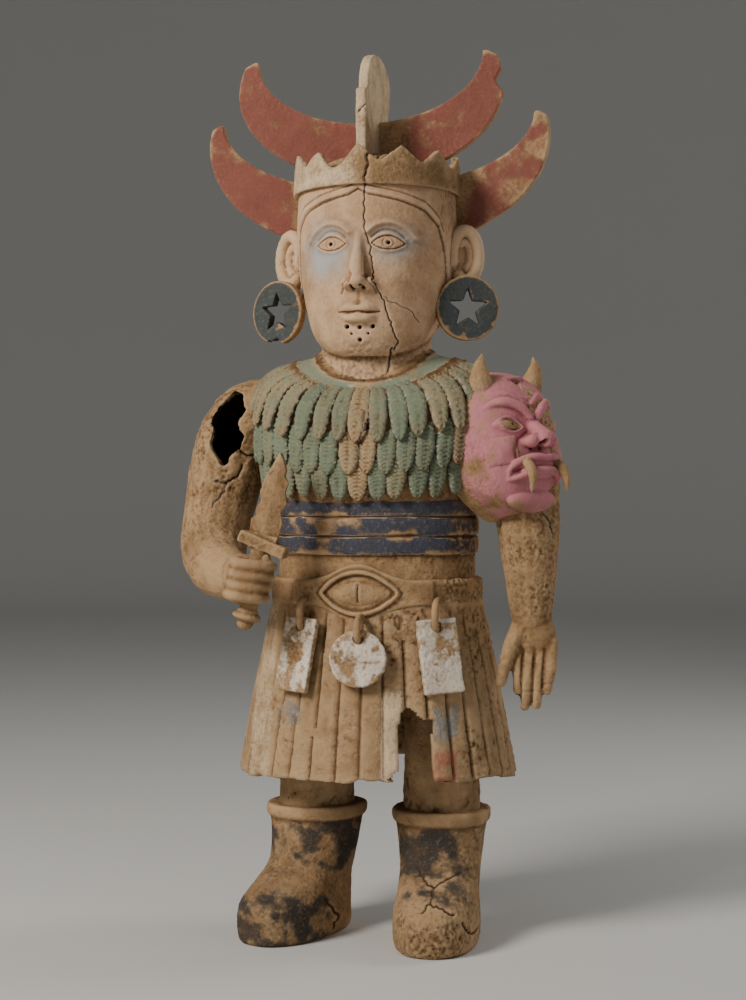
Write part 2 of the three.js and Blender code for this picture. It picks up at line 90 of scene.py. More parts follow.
def tube(stations, steps=8, roundEnds=True):
    clearSelection()
    bpy.ops.curve.primitive_bezier_curve_add()
    o = bpy.context.object
    spline = o.data.splines[0]
    spline.bezier_points.add(len(stations) - 2)
    for point, (x, y, z, r) in zip(spline.bezier_points, stations):
        point.co = (x * mm, y * mm, z * mm)
        point.radius = r
        point.handle_left_type = point.handle_right_type = "AUTO"
    o.data.bevel_depth = mm
    o.data.bevel_resolution = 6
    o.data.resolution_u = steps
    o.data.use_fill_caps = True
    pick(o)
    bpy.ops.object.convert(target="MESH")
    o = bpy.context.object
    if not roundEnds:
        return o
    ends = [ball(s[:3], (s[3] * 0.97,) * 3, segments=18) for s in (stations[0], stations[-1])]
    return joined([o, *ends])


def outlined(outline, y=0):
    clearSelection()
    bpy.ops.mesh.primitive_circle_add(vertices=len(outline), radius=1, fill_type="NGON")
    o = bpy.context.object
    for v, (x, z) in zip(o.data.vertices, outline):
        v.co = (x * mm, y * mm, z * mm)
    return o


def slab(outline, thickness, at=(0, 0, 0), turn=(0, 0, 0)):
    o = outlined(outline, -thickness / 2)
    bpy.ops.object.mode_set(mode="EDIT")
    bpy.ops.mesh.select_all(action="SELECT")
    bpy.ops.mesh.extrude_region_move(TRANSFORM_OT_translate={"value": (0, thickness * mm, 0)})
    bpy.ops.mesh.select_all(action="SELECT")
    bpy.ops.mesh.normals_make_consistent(inside=False)
    bpy.ops.object.mode_set(mode="OBJECT")
    return place(o, at, turn)


def smoothRows(rows, steps):
    rows = np.array(rows, float)
    spare = np.vstack([2 * rows[0] - rows[1], rows, 2 * rows[-1] - rows[-2]])
    out = []
    for i in range(1, len(spare) - 2):
        a, b, c, d = spare[i - 1 : i + 3]
        for t in np.arange(steps) / steps:
            out.append(0.5 * (2 * b + (c - a) * t + (2 * a - 5 * b + 4 * c - d) * t * t
                              + (3 * b - a - 3 * c + d) * t ** 3))
    return np.vstack([out, rows[-1]])


# Rings stacked up Z, each as [z, half width, half depth, shift in y]. A power above 2 makes them squarer.
def stack(rows, sides=64, power=2.0, ends=True):
    clearSelection()
    bpy.ops.mesh.primitive_circle_add(vertices=sides, radius=1, fill_type="NGON" if ends else "NOTHING")
    o = bpy.context.object
    z, w, d, shift = rows[0]
    for v in o.data.vertices:
        c, s = v.co.x, v.co.y
        c, s = (math.copysign(abs(k) ** (2 / power), k) for k in (c, s))
        v.co = (w * c * mm, (shift + d * s) * mm, z * mm)
    bpy.ops.object.mode_set(mode="EDIT")
    bpy.ops.mesh.select_all(action="SELECT")
    for z2, w2, d2, shift2 in rows[1:]:
        move = {"value": (0, (shift2 - shift) * mm, (z2 - z) * mm)}
        if ends:
            bpy.ops.mesh.extrude_region_move(TRANSFORM_OT_translate=move)
        else:
            bpy.ops.mesh.extrude_edges_move(TRANSFORM_OT_translate=move)
        bpy.ops.transform.resize(value=(w2 / w, d2 / d, 1), center_override=(0, shift2 * mm, z2 * mm))
        z, w, d, shift = z2, w2, d2, shift2
    bpy.ops.mesh.select_all(action="SELECT")
    bpy.ops.mesh.normals_make_consistent(inside=False)
    bpy.ops.object.mode_set(mode="OBJECT")
    return o


def joined(parts, name=None):
    o = pick(*parts)
    if len(parts) > 1:
        bpy.ops.object.join()
    if name:
        o.name = o.data.name = name
    return o


def change(o, kind, **settings):
    modifier = o.modifiers.new(kind.title(), kind)
    for key, value in settings.items():
        setattr(modifier, key, value)
    pick(o)
    bpy.ops.object.modifier_apply(modifier=modifier.name)
    return o


def cutAway(o, cutter, solver="EXACT"):
    change(o, "BOOLEAN", operation="DIFFERENCE", object=cutter, solver=solver)
    bpy.data.objects.remove(cutter)
    return o


# Melts joined lumps into one skin of clay.
def melted(o, grain, rounds=3):
    change(o, "REMESH", mode="VOXEL", voxel_size=grain * coarse * mm)
    change(o, "SMOOTH", factor=0.5, iterations=rounds)
    return o


def points(o):
    n = len(o.data.vertices)
    co, normal = np.empty(3 * n, np.float32), np.empty(3 * n, np.float32)
    o.data.vertices.foreach_get("co", co)
    o.data.vertices.foreach_get("normal", normal)
    return co.reshape(-1, 3).astype(float) / mm, normal.reshape(-1, 3).astype(float)


def setPoints(o, co):
    o.data.vertices.foreach_set("co", (co * mm).astype(np.float32).ravel())
    o.data.update()


# Splits the faces of one region once, where finer relief is to come.
def refine(o, wanted):
    clearSelection()
    pick(o)
    bpy.ops.object.mode_set(mode="EDIT")
    bpy.ops.mesh.select_all(action="DESELECT")
    bpy.ops.object.mode_set(mode="OBJECT")
    centres = np.empty(3 * len(o.data.polygons), np.float32)
    o.data.polygons.foreach_get("center", centres)
    o.data.polygons.foreach_set("select", wanted(centres.reshape(-1, 3) / mm))
    bpy.ops.object.mode_set(mode="EDIT")
    bpy.ops.mesh.select_mode(type="FACE")
    bpy.ops.mesh.subdivide(number_cuts=1, smoothness=0.3)
    bpy.ops.object.mode_set(mode="OBJECT")
    return o


# Averages values over neighbouring points.
def evenOut(o, values, rounds):
    ends = np.empty(2 * len(o.data.edges), np.int32)
    o.data.edges.foreach_get("vertices", ends)
    a, b = ends.reshape(-1, 2).T
    n = len(values)
    count = np.bincount(a, minlength=n) + np.bincount(b, minlength=n)
    count = np.maximum(count, 1)
    values = values.reshape(n, -1)
    for _ in range(rounds):
        values = np.stack([(np.bincount(a, column[b], n) + np.bincount(b, column[a], n)) / count
                           for column in values.T], axis=1)
    return values


# Smooth lumpy noise from 0 to 1, with lumps of the given size.
def lumps(co, size, seed=0, octaves=1):
    total, weight = np.zeros(len(co)), 0.0
    for octave in range(octaves):
        p = co / size * 2 ** octave + 4000 + seed * 13.7
        cell = np.floor(p).astype(np.int64)
        f = p - cell
        f = f * f * (3 - 2 * f)
        value = np.zeros(len(co))
        for corner in range(8):
            step = np.array([corner & 1, corner >> 1 & 1, corner >> 2])
            x, y, z = (cell + step).T
            h = (x * 73856093 ^ y * 19349663 ^ z * 83492791 ^ (seed + octave) * 2654435761) & 0xFFFFFFFF
            h = (h ^ h >> 15) * 0x2C1B3C6D & 0xFFFFFFFF
            h = (h ^ h >> 12) * 0x297A2D39 & 0xFFFFFFFF
            h = (h ^ h >> 15) / 0xFFFFFFFF
            value += h * np.prod(np.where(step, f, 1 - f), axis=1)
        total += value * 0.55 ** octave
        weight += 0.55 ** octave
    return total / weight


# A smooth step from 0 at low to 1 at high.
def ramp(value, low, high):
    t = np.clip((value - low) / (high - low), 0, 1)
    return t * t * (3 - 2 * t)


# Each point's distance from a broken line, or 1000 where it is out of reach.
def away(co, line, axes=(0, 2), reach=14):
    line = np.array(line, float)
    p = co[:, list(axes)] if len(axes) < 3 else co
    near = np.all((p > line.min(0) - reach) & (p < line.max(0) + reach), axis=1)
    best = np.full(len(co), 1e3)
    q, d = p[near], np.full(near.sum(), 1e3)
    for a, b in zip(line[:-1], line[1:]):
        ab = b - a
        t = np.clip((q - a) @ ab / (ab @ ab), 0, 1)
        d = np.minimum(d, np.linalg.norm(q - a - t[:, None] * ab, axis=1))
    best[near] = d
    return best


def bump(distance, width):
    return np.exp(-(distance / width) ** 2)


# A line that wanders like a break in fired clay.
def jagged(line, seed, sway=2.2, step=4):
    rng = np.random.default_rng(seed)
    out = [np.array(line[0], float)]
    for a, b in zip(line[:-1], line[1:]):
        a, b = np.array(a, float), np.array(b, float)
        count = max(1, round(np.linalg.norm(b - a) / step))
        for i in range(1, count + 1):
            out.append(a + (b - a) * i / count + rng.normal(0, sway / 2.5, len(a)) * (i < count))
    return out


# Pits, scabs and soft lumps of weathered clay. Strength may vary over the skin.
def weather(o, strength=1.0, seed=1, lump=0.8, pit=1.8, scab=0.9):
    co, normal = points(o)
    rough = (0.3 + 0.7 * ramp(lumps(co, 38, seed, 3), 0.36, 0.6)) * strength
    push = (lumps(co, 34, seed + 1, 2) - 0.5) * lump * 2
    push += (lumps(co, 10, seed + 2, 3) - 0.5) * scab * 2.2 * rough
    crumb = lumps(co, 4.6, seed + 3, 2)
    push -= ramp(crumb, 0.58, 0.85) * pit * 0.55 * rough
    push += (lumps(co, 3.4, seed + 4) - 0.5) * 1.7 * rough
    setPoints(o, co + normal * push[:, None])
    keep(o, "rough", np.clip(rough, 0, 1))
    return o


def keep(o, name, values):
    layer = o.data.attributes.get(name) or o.data.attributes.new(name, "FLOAT", "POINT")
    layer.data.foreach_set("value", np.asarray(values, np.float32))


def kept(o, name):
    values = np.zeros(len(o.data.vertices), np.float32)
    if name in o.data.attributes:
        o.data.attributes[name].data.foreach_get("value", values)
    return values


# Lays pigment over the clay: cover runs from 0, bare, to 1, whole.
def paint(o, colour, cover):
    layers = o.data.attributes
    pigment = layers.get("pigment") or layers.new("pigment", "FLOAT_COLOR", "POINT")
    held = np.zeros(4 * len(o.data.vertices), np.float32)
    pigment.data.foreach_get("color", held)
    held = held.reshape(-1, 4)
    before = kept(o, "cover")
    wins = cover > before
    held[wins] = [*colour, 1]
    pigment.data.foreach_set("color", held.ravel())
    keep(o, "cover", np.maximum(before, cover))


# Cuts a wandering crack in and paints it dark, as painted shade in the crack's gap.
def crack(o, line, width=1.1, depth=2.5, axes=(0, 2), where=None, seed=3, sway=2.2):
    co, normal = points(o)
    d = away(co, jagged(line, seed, sway), axes)
    if where is not None:
        d = np.where(where(co, normal), d, 1e3)
    setPoints(o, co - normal * (depth * bump(d, width))[:, None])
    paint(o, colours["crack"], ramp(-d, -width * 1.1, -width * 0.3))


def dent(o, centre, radius, depth, axes=(0, 2), towards=(0, 1, 0), where=None, dark=True):
    co, normal = points(o)
    d = np.linalg.norm(co[:, list(axes)] - centre, axis=1)
    if where is not None:
        d = np.where(where(co, normal), d, 1e3)
    press = ramp(-d, -radius * 1.15, -radius * 0.75)
    setPoints(o, co + np.array(towards) * (depth * press)[:, None])
    # With dark set, the pit is painted near black, as painted shade in its depth.
    if dark:
        paint(o, colours["hollow"], ramp(-d, -radius * 1.05, -radius * 0.8))


def facing(co, normal):
    return (co[:, 1] < 0) & (normal[:, 1] < 0.25)


# Materials

def linear(*rgb):
    return [((c / 255 + 0.055) / 1.055) ** 2.4 if c > 10 else c / 255 / 12.92 for c in rgb]


colours = {
    # crack is dark paint laid along cracks, slits and a broken end, as painted shade in their gaps; hollow is
    # near black laid in holes and hollows, as painted shade for their depth.
    "crack": linear(46, 30, 20),
    "hollow": linear(14, 10, 8),
    "red": linear(132, 79, 68),
    "green": linear(118, 128, 106),
    "turquoise": linear(122, 138, 118),
    "indigo": linear(68, 70, 80),
    "paleBlue": linear(162, 167, 168),
    "pink": linear(192, 122, 130),
    "black": linear(62, 58, 54),
    "slate": linear(70, 76, 76),
    "white": linear(222, 208, 190),
    "greyBlue": linear(130, 131, 130),
    "brickDust": linear(168, 108, 84),
    "orange": linear(166, 106, 66),
    "palest": linear(212, 186, 152),
}


def clayMaterial(name, look):
    material = bpy.data.materials.new(name)
    material.use_nodes = True
    tree = material.node_tree
    tree.nodes.clear()

    def add(kind, inputs=None, **settings):
        node = tree.nodes.new("ShaderNode" + kind)
        for key, value in settings.items():
            setattr(node, key, value)
        for key, value in (inputs or {}).items():
            if isinstance(value, bpy.types.NodeSocket):
                tree.links.new(value, node.inputs[key])
            else:
                node.inputs[key].default_value = value
        return node

    def maths(operation, a, b=0.0, clamp=False):
        return add("Math", {0: a, 1: b}, operation=operation, use_clamp=clamp).outputs[0]

    def between(value, low, high):
        return add("MapRange", {"Value": value, "From Min": low, "From Max": high},
                   interpolation_type="SMOOTHSTEP").outputs[0]

    def mixed(a, b, share):
        return add("Mix", {0: share, 6: a, 7: b}, data_type="RGBA").outputs[2]

    spot = add("TexCoord").outputs["Object"]
    noises = {}
    for key, scale, detail in (("broad", 8, 4), ("cloud", 38, 6), ("grain", 210, 6), ("fine", 760, 3)):
        noises[key] = add("TexNoise", {"Vector": spot, "Scale": scale, "Detail": detail,
                                       "Roughness": 0.62}).outputs[0]
    pores = add("TexVoronoi", {"Vector": spot, "Scale": 230.0, "Randomness": 1.0}).outputs["Distance"]
    cover = add("Attribute", attribute_name="cover").outputs["Fac"]
    pigment = add("Attribute", attribute_name="pigment").outputs["Color"]
    hollowness = add("Attribute", attribute_name="hollowness").outputs["Fac"]
    rough = add("Attribute", attribute_name="rough").outputs["Fac"]

    tone = maths("ADD", maths("MULTIPLY", noises["broad"], 0.55), maths("MULTIPLY", noises["cloud"], 0.45))
    clay = mixed((*look["dark"], 1), (*look["light"], 1), between(tone, 0.36, 0.66))
    clay = mixed(clay, (*look["rose"], 1), maths("MULTIPLY", between(noises["cloud"], 0.55, 0.75), 0.35))
    poreSpots = maths("MULTIPLY", between(pores, 0.24, 0.12), between(noises["grain"], 0.5, 0.62))
    # Soil darkens the clay, and more so in grooves where hollowness is high: painted shade in the grooves,
    # together with the soil.
    soil = maths("ADD", maths("MULTIPLY", hollowness, look["soilAndShadeInHollows"]),
                 maths("MULTIPLY", between(noises["grain"], 0.52, 0.7), look["soil"]))
    soil = maths("ADD", soil, maths("MULTIPLY", rough, look["soilOnRough"]))
    soil = maths("ADD", soil, maths("MULTIPLY", poreSpots, look["pores"]), clamp=True)
    clay = mixed(clay, (*look["soilAndShadeColour"], 1), soil)
    ridge = maths("MULTIPLY", hollowness, -0.9, clamp=True)
    clay = mixed(clay, (*look["worn"], 1), maths("MULTIPLY", ridge, 0.5))

    coverage = maths("ADD", cover, maths("MULTIPLY", maths("SUBTRACT", noises["grain"], 0.5), look["flakes"]))
    patches = maths("MULTIPLY", maths("SUBTRACT", noises["cloud"], 0.5), look["patches"])
    coverage = maths("ADD", coverage, patches)
    coverage = maths("SUBTRACT", coverage, maths("MULTIPLY", ridge, look["wear"]))
    laid = maths("MULTIPLY", between(coverage, 0.5 - look["softness"], 0.5 + look["softness"]),
                 between(cover, 0.02, 0.12))
    uneven = maths("ADD", maths("MULTIPLY", noises["cloud"], 0.5), 0.76)
    tint = add("HueSaturation", {"Color": pigment, "Saturation": 1.0,
                                 "Value": uneven}).outputs[0]
    dust = maths("MULTIPLY", between(noises["grain"], 0.5, 0.72), look["dust"])
    tint = mixed(tint, clay, dust)
    colour = mixed(clay, tint, laid)
    # Grooves are darkened once more towards the soil colour: painted shade packed in with the soil.
    packedSoilAndShade = maths("MULTIPLY", hollowness, 0.8, clamp=True)
    colour = mixed(colour, (*look["soilAndShadeColour"], 1), maths("MULTIPLY", packedSoilAndShade, 0.6))

    height = maths("ADD", maths("MULTIPLY", noises["grain"], 1.5), maths("MULTIPLY", noises["fine"], 0.4))
    height = maths("SUBTRACT", height, maths("MULTIPLY", poreSpots, 0.6))
    height = maths("ADD", height, maths("MULTIPLY", laid, 0.25))
    relief = maths("ADD", maths("MULTIPLY", rough, look["roughRelief"]), look["relief"])
    normal = add("Bump", {"Strength": relief, "Distance": 0.0026, "Height": height}).outputs[0]
    shader = add("BsdfPrincipled", {"Base Color": colour, "Roughness": look["gloss"],
                                    "Specular IOR Level": 0.22, "Normal": normal})
    output = add("OutputMaterial")
    tree.links.new(shader.outputs[0], output.inputs[0])
    return material


bodyLook = {
    "dark": linear(136, 104, 70),
    "light": linear(186, 152, 112),
    "rose": linear(180, 132, 94),
    "worn": linear(202, 172, 134),
    "soilAndShadeColour": linear(92, 66, 42),
    "soil": 0.45, "soilAndShadeInHollows": 0.62, "soilOnRough": 0.2, "pores": 0.5,
    "flakes": 1.1, "patches": 0.7, "softness": 0.26, "wear": 0.15, "dust": 0.4,
    "relief": 0.5, "roughRelief": 0.5, "gloss": 0.96,
}
faceLook = dict(bodyLook, dark=linear(178, 140, 104), light=linear(214, 178, 142), rose=linear(212, 162, 126),
                worn=linear(226, 196, 162), soil=0.22, soilOnRough=0.3, pores=0.4, relief=0.22, flakes=0.6,
                patches=0.5,
                softness=0.42, dust=0.2)
paintedLook = dict(bodyLook, flakes=0.9, patches=0.5, softness=0.2, dust=0.35, wear=0.25, relief=0.3)
paintedWorn = dict(paintedLook, dust=0.42, softness=0.3)
# Feathers take the full painted shade in the grooves and gaps between them.
featherLook = dict(bodyLook, patches=0.8, flakes=1.1, softness=0.42, wear=0.0, dust=0.6, soilAndShadeInHollows=1.0)
bootLook = dict(bodyLook, patches=1.3, flakes=1.3, softness=0.5, dust=0.5)

bodyClay = clayMaterial("weatheredClay", bodyLook)
faceClay = clayMaterial("smoothFaceClay", faceLook)
paintedClay = clayMaterial("paintedClay", paintedLook)
wornPaint = clayMaterial("wornPaintedClay", paintedWorn)
featherClay = clayMaterial("featherClay", featherLook)
bootClay = clayMaterial("bootClay", bootLook)
whiteClay = clayMaterial("whitenedClay", dict(paintedLook, flakes=1.7, patches=0.9, softness=0.3, dust=0.3))


finish = {"share": 0.53}  # share of its triangles that a finished piece keeps


def finishPiece(o, name, material, standsFor=(), hollowScale=1.0):
    o.name = o.data.name = name
    co, normal = points(o)
    # hollowness rises in grooves and falls on ridges; the clay shader uses it to paint shade into the
    # grooves.
    smooth = evenOut(o, co, 7)
    keep(o, "hollowness", np.clip(np.einsum("ij,ij->i", smooth - co, normal) * hollowScale, -1, 1))
    for layer in ("rough", "cover"):
        keep(o, layer, kept(o, layer))
    if "pigment" not in o.data.attributes:
        paint(o, colours["white"], np.zeros(len(co)))
    change(o, "DECIMATE", ratio=finish["share"])
    o.data.materials.clear()
    o.data.materials.append(material)
    pick(o)
    bpy.ops.object.shade_smooth()
    place(o, (0, axisY, 0))
    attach(o, "root")
    if standsFor:
        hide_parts(*standsFor)
    o.data.calc_loop_triangles()
    print(name, "done,", len(o.data.loop_triangles), "triangles")
    return o


# Camera

cameraSizes = {"turn": 13, "distance": 2420, "height": 575, "lens": 64.8, "aside": 5.4}


def makeCamera(sizes):
    a = math.radians(sizes["turn"])
    right = Vector((math.cos(a), math.sin(a), 0))
    back = Vector((math.sin(a), -math.cos(a), 0))
    target = Vector((0, axisY, sizes["height"])) * mm - right * sizes["aside"] * mm
    bpy.ops.object.camera_add(location=target + back * sizes["distance"] * mm, rotation=(math.pi / 2, 0, a))
    camera = bpy.context.object
    camera.data.lens = sizes["lens"]
    camera.data.sensor_width = 36
    bpy.context.scene.camera = camera


makeCamera(cameraSizes)


# Floor and light

studio = {"floorRadius": 7.0, "cove": 1.6, "coveSteps": 8, "wall": 5.0, "key": 112, "fill": 9, "rim": 24,
          "sky": 0.17}


def makeStudio(sizes):
    clearSelection()
    bpy.ops.mesh.primitive_circle_add(vertices=96, radius=sizes["floorRadius"], fill_type="NGON")
    floor = bpy.context.object
    floor.name = "floor"
    bpy.ops.object.mode_set(mode="EDIT")
    bpy.ops.mesh.select_all(action="DESELECT")
    bpy.ops.mesh.select_mode(type="EDGE")
    bpy.ops.mesh.select_all(action="SELECT")
    bpy.ops.mesh.region_to_loop()
    radius, cove, steps = sizes["floorRadius"], sizes["cove"], sizes["coveSteps"]
    for i in range(1, steps + 1):
        angle = i / steps * math.pi / 2
        grown = sizes["floorRadius"] + cove * math.sin(angle)
        rise = cove * (math.cos((i - 1) / steps * math.pi / 2) - math.cos(angle))
        bpy.ops.mesh.extrude_edges_move(TRANSFORM_OT_translate={"value": (0, 0, rise)})
        bpy.ops.transform.resize(value=(grown / radius, grown / radius, 1), center_override=(0, 0, 0))
        radius = grown
    bpy.ops.mesh.extrude_edges_move(TRANSFORM_OT_translate={"value": (0, 0, sizes["wall"])})
    bpy.ops.object.mode_set(mode="OBJECT")
    bpy.ops.object.shade_smooth()
    paper = bpy.data.materials.new("paleFloor")
    paper.use_nodes = True
    shader = paper.node_tree.nodes["Principled BSDF"]
    shader.inputs["Base Color"].default_value = (*linear(206, 204, 200), 1)
    shader.inputs["Roughness"].default_value = 0.9
    floor.data.materials.append(paper)
    world = bpy.data.worlds.new("studio")
    bpy.context.scene.world = world
    world.use_nodes = True
    world.node_tree.nodes["Background"].inputs[0].default_value = (0.9, 0.95, 1.0, 1)
    world.node_tree.nodes["Background"].inputs[1].default_value = sizes["sky"]
    lights = (("key", (-1.7, -2.2, 2.3), 1.1, (1.0, 0.96, 0.9)),
              ("fill", (2.4, -2.0, 1.0), 2.0, (0.9, 0.95, 1.0)),
              ("rim", (2.0, 1.4, 1.9), 1.0, (1.0, 0.97, 0.92)))
    for name, at, size, colour in lights:
        bpy.ops.object.light_add(type="AREA", location=at)
        lamp = bpy.context.object
        lamp.name = name
        lamp.data.size = size
        lamp.data.energy = sizes[name]
        lamp.data.color = colour
        lamp.rotation_euler = (Vector((0, 0, 0.6)) - Vector(at)).to_track_quat("-Z", "Y").to_euler()


makeStudio(studio)
print("camera, floor and lights set")


# Head

headSizes = {
    "rows": [[763, 34, 26, -58], [772, 58, 54, -40], [792, 78, 81, -21], [824, 91, 99, -8],
             [868, 100, 108, 0],
             [925, 103, 111, 0], [978, 102, 109, 2], [1004, 94, 100, 3]],
    "neck": [[728, 86, 74, 0], [745, 80, 70, 0], [770, 74, 67, -3], [830, 72, 66, -4]],
    "grain": 2.0,
    "eye": {"x": 38, "z": 905, "halfWidth": 20, "up": 9.5, "down": 7},
    "holes": [(-17, 799, 2.9), (0, 798, 2.9), (17, 799, 2.9), (-11, 790, 1.8), (11, 790, 1.8), (0, 782, 2.9)],
    "crack": [(17, 1008), (10, 990), (8, 968), (9, 950), (8, 928), (13, 906), (17, 884), (20, 862), (26, 842),
              (33, 832), (37, 812), (42, 796), (46, 778), (40, 768)],
    "branch": [(32, 836), (42, 829), (52, 825), (64, 819), (71, 806)],
    "neckCrack": [(39, 772), (32, 761), (30, 746), (29, 728)],
}


def ear(side):
    def around(start, end, w, h, r, y, count=9):
        out = []
        for t in np.linspace(start, end, count):
            a = math.radians(t)
            out.append([side * w * math.cos(a), y, h * math.sin(a), r])
        return out
    turns = np.linspace(0, 2 * math.pi, 40, endpoint=False)
    shell = slab([(19 * math.cos(t), 34 * math.sin(t)) for t in turns], 7, at=(0, 7, 0))
    parts = [shell, tube(around(-112, 196, 19, 33, 5.4, -4, 12)),
             tube(around(-70, 120, 9, 19, 2.8, 1, 7)),
             tube([[-side * 9, -2, -26, 5], [-side * 4, -3, -36, 5.4], [side * 2, -5, -41, 4.6]])]
    return place(joined(parts), (side * 118, 4, 900), (0, 0, side * 32))


def makeHead(sizes):
    parts = [stack(smoothRows(sizes["rows"], 4), 72), stack(smoothRows(sizes["neck"], 3), 56)]
    # nose, with wings, and lips
    parts += [tube([[0, -104, 921, 7], [0, -112, 896, 8], [0, -120, 868, 10], [0, -121, 858, 11]]),
              ball((0, -120, 857), (13, 12, 11)),
              tube([[-28, -95, 818, 3.0], [-12, -108, 823, 6], [0, -110, 821.5, 5.6], [12, -108, 823, 6],
                    [28, -95, 818, 3.0]]),
              tube([[-24, -97, 813, 3], [-9, -108, 809, 6.8], [9, -108, 809, 6.8], [24, -97, 813, 3]]),
              ball((0, -82, 787), (27, 20, 17))]
    for side in (-1, 1):
        parts += [ball((side * 14, -111, 854), (8.5, 10, 8)), ear(side)]
    o = melted(joined(parts), sizes["grain"], 4)
    refine(o, lambda c: (abs(c[:, 0]) < 72) & (c[:, 1] < -52) & (c[:, 2] > 776) & (c[:, 2] < 990))
    co, normal = points(o)
    front = co[:, 1] < -40
    push = np.zeros(len(co))
    x, z = co[:, 0], co[:, 2]
    eye = sizes["eye"]
    t = np.linspace(-1, 1, 15)
    for side in (-1, 1):
        dx, dz = (x - side * eye["x"]), z - eye["z"]
        push -= 4.5 * np.exp(-(dx / 27) ** 2 - ((dz - 2) / 15) ** 2)
        upper = np.stack([side * eye["x"] + eye["halfWidth"] * t, eye["z"] + eye["up"] * (1 - t * t)], 1)
        lower = np.stack([side * eye["x"] + eye["halfWidth"] * t, eye["z"] - eye["down"] * (1 - t * t)], 1)
        opening = 1 - (dx / eye["halfWidth"]) ** 2
        inside = (dz < eye["up"] * opening) & (dz > -eye["down"] * opening) & front
        bulge = np.sqrt(np.clip(1 - (dx / 21) ** 2 - (dz / 12) ** 2, 0, 1))
        push += np.where(inside, 4.8 * bulge, 0)
        push += 3.4 * bump(away(co, upper + [0, 2.6]), 2.6) + 2.2 * bump(away(co, lower - [0, 2.4]), 2.4)
        push -= 2.2 * bump(away(co, upper), 1.1) + 1.6 * bump(away(co, lower), 1.0)
        push -= 1.5 * bump(away(co, upper + [0, 8.5]), 1.6)
        ring = np.hypot(dx, dz - 1)
        push -= np.where(inside, 1.0 * bump(ring - 6.6, 0.9), 0)
        brow = smoothRows([(side * 12, 921), (side * 24, 930), (side * 42, 933), (side * 60, 925),
                           (side * 70, 914)], 5)
        push += 3.2 * bump(away(co, brow), 4.6) + 1.2 * bump(away(co, brow - [0, 2]), 1.8)
        push -= 2.2 * bump(away(co, [(side * 11, 862), (side * 20, 850), (side * 23, 842)]), 1.8)
        push += 2.0 * np.exp(-((x - side * 52) / 22) ** 2 - ((z - 862) / 20) ** 2)
    push -= 2.4 * bump(away(co, [(-27, 817.5), (-12, 816), (0, 817), (12, 816), (27, 817.5)]), 1.3)
    push -= 1.8 * bump(away(co, [(0, 842), (0, 829)]), 3.0)
    push -= 2.0 * bump(away(co, [(-14, 800), (0, 802), (14, 800)]), 5.0)
    push = np.where(front, push, 0)
    # hair swept down from a parting to the ears
    turn = np.abs(np.arctan2(x, -co[:, 1]))
    hairline = np.interp(turn, [0, 0.12, 0.5, 0.85, 1.1, 1.25, 1.38, 1.5],
                         [977, 970, 962, 952, 934, 905, 868, 800])
    inHair = ramp(z, hairline - 1.0, hairline + 1.0) * (z < 1002) * (np.hypot(x, co[:, 1]) > 84)
    push += 3.2 * inHair
    push -= 1.6 * bump(z - hairline - 9, 1.5) * (turn < 1.35) + 1.4 * bump(z - hairline + 1.5,
                                                                           1.5) * (turn < 1.45)
    setPoints(o, co + normal * push[:, None])
    change(o, "SMOOTH", factor=0.4, iterations=1)

    co, normal = points(o)
    neckPart = ramp(-co[:, 2], -790, -765)
    back = ramp(co[:, 1], 10, 60)
    crust = np.clip(0.22 + 0.45 * neckPart + 0.7 * back + 0.6 * (np.abs(co[:, 0]) > 96), 0, 1)
    weather(o, crust, seed=11, lump=0.5, pit=1.3, scab=0.7)
    # pale blue about the eyes
    co, normal = points(o)
    left = np.exp(-((co[:, 0] + 46) / 36) ** 2 - ((co[:, 2] - 896) / 40) ** 2)
    right = np.exp(-((co[:, 0] - 46) / 35) ** 2 - ((co[:, 2] - 906) / 27) ** 2)
    cover = np.clip(1.05 * left + 0.85 * right, 0, 0.85) * (co[:, 1] < -30)
    for side in (-1, 1):
        dx, dz = co[:, 0] - side * eye["x"], co[:, 2] - eye["z"]
        opening = 1 - (dx / (eye["halfWidth"] + 2)) ** 2
        cover = np.where((dz < 13 * opening) & (dz > -10 * opening), 0, cover)
    paint(o, colours["paleBlue"], np.where(cover > 0.12, cover * 0.82, 0))
    # The pupils, nostrils and holes under the mouth are pressed in and painted near black, as painted shade.
    for side in (-1, 1):
        dent(o, (side * eye["x"], eye["z"] + 1), 2.6, 6, where=facing)
        dent(o, (side * 7, 847), 3.4, 5, where=facing, towards=(0, 0.5, 0.8))
    for hx, hz, r in sizes["holes"]:
        dent(o, (hx, hz), r, 7, where=facing)
    crack(o, sizes["crack"], 0.95, 2.6, where=facing, seed=5, sway=2.6)
    crack(o, sizes["branch"], 0.6, 1.4, where=facing, seed=6)
    crack(o, sizes["neckCrack"], 1.2, 2.5, where=facing, seed=7)
    # the nose is chipped on one side
    co, normal = points(o)
    inside = ((co - [-12, -130, 863]) / [9, 9, 15])
    reach = 1 - np.linalg.norm(inside, axis=1) + (lumps(co, 5, 9) - 0.5) * 0.35
    push = np.clip(reach, 0, 1) * 8
    setPoints(o, co + np.array([0.35, 0.9, 0]) * push[:, None])
    paint(o, colours["orange"], ramp(reach, 0.02, 0.12) * 0.75)
    return finishPiece(o, "headAndNeck", faceClay, standsFor=("figure",))


makeHead(headSizes)


# Ear discs with star openings

discSizes = {"x": 129, "shift": -3, "y": -16, "z": 828, "radius": 43, "thickness": 12, "turn": 25,
             "starOut": 29, "starIn": 12}


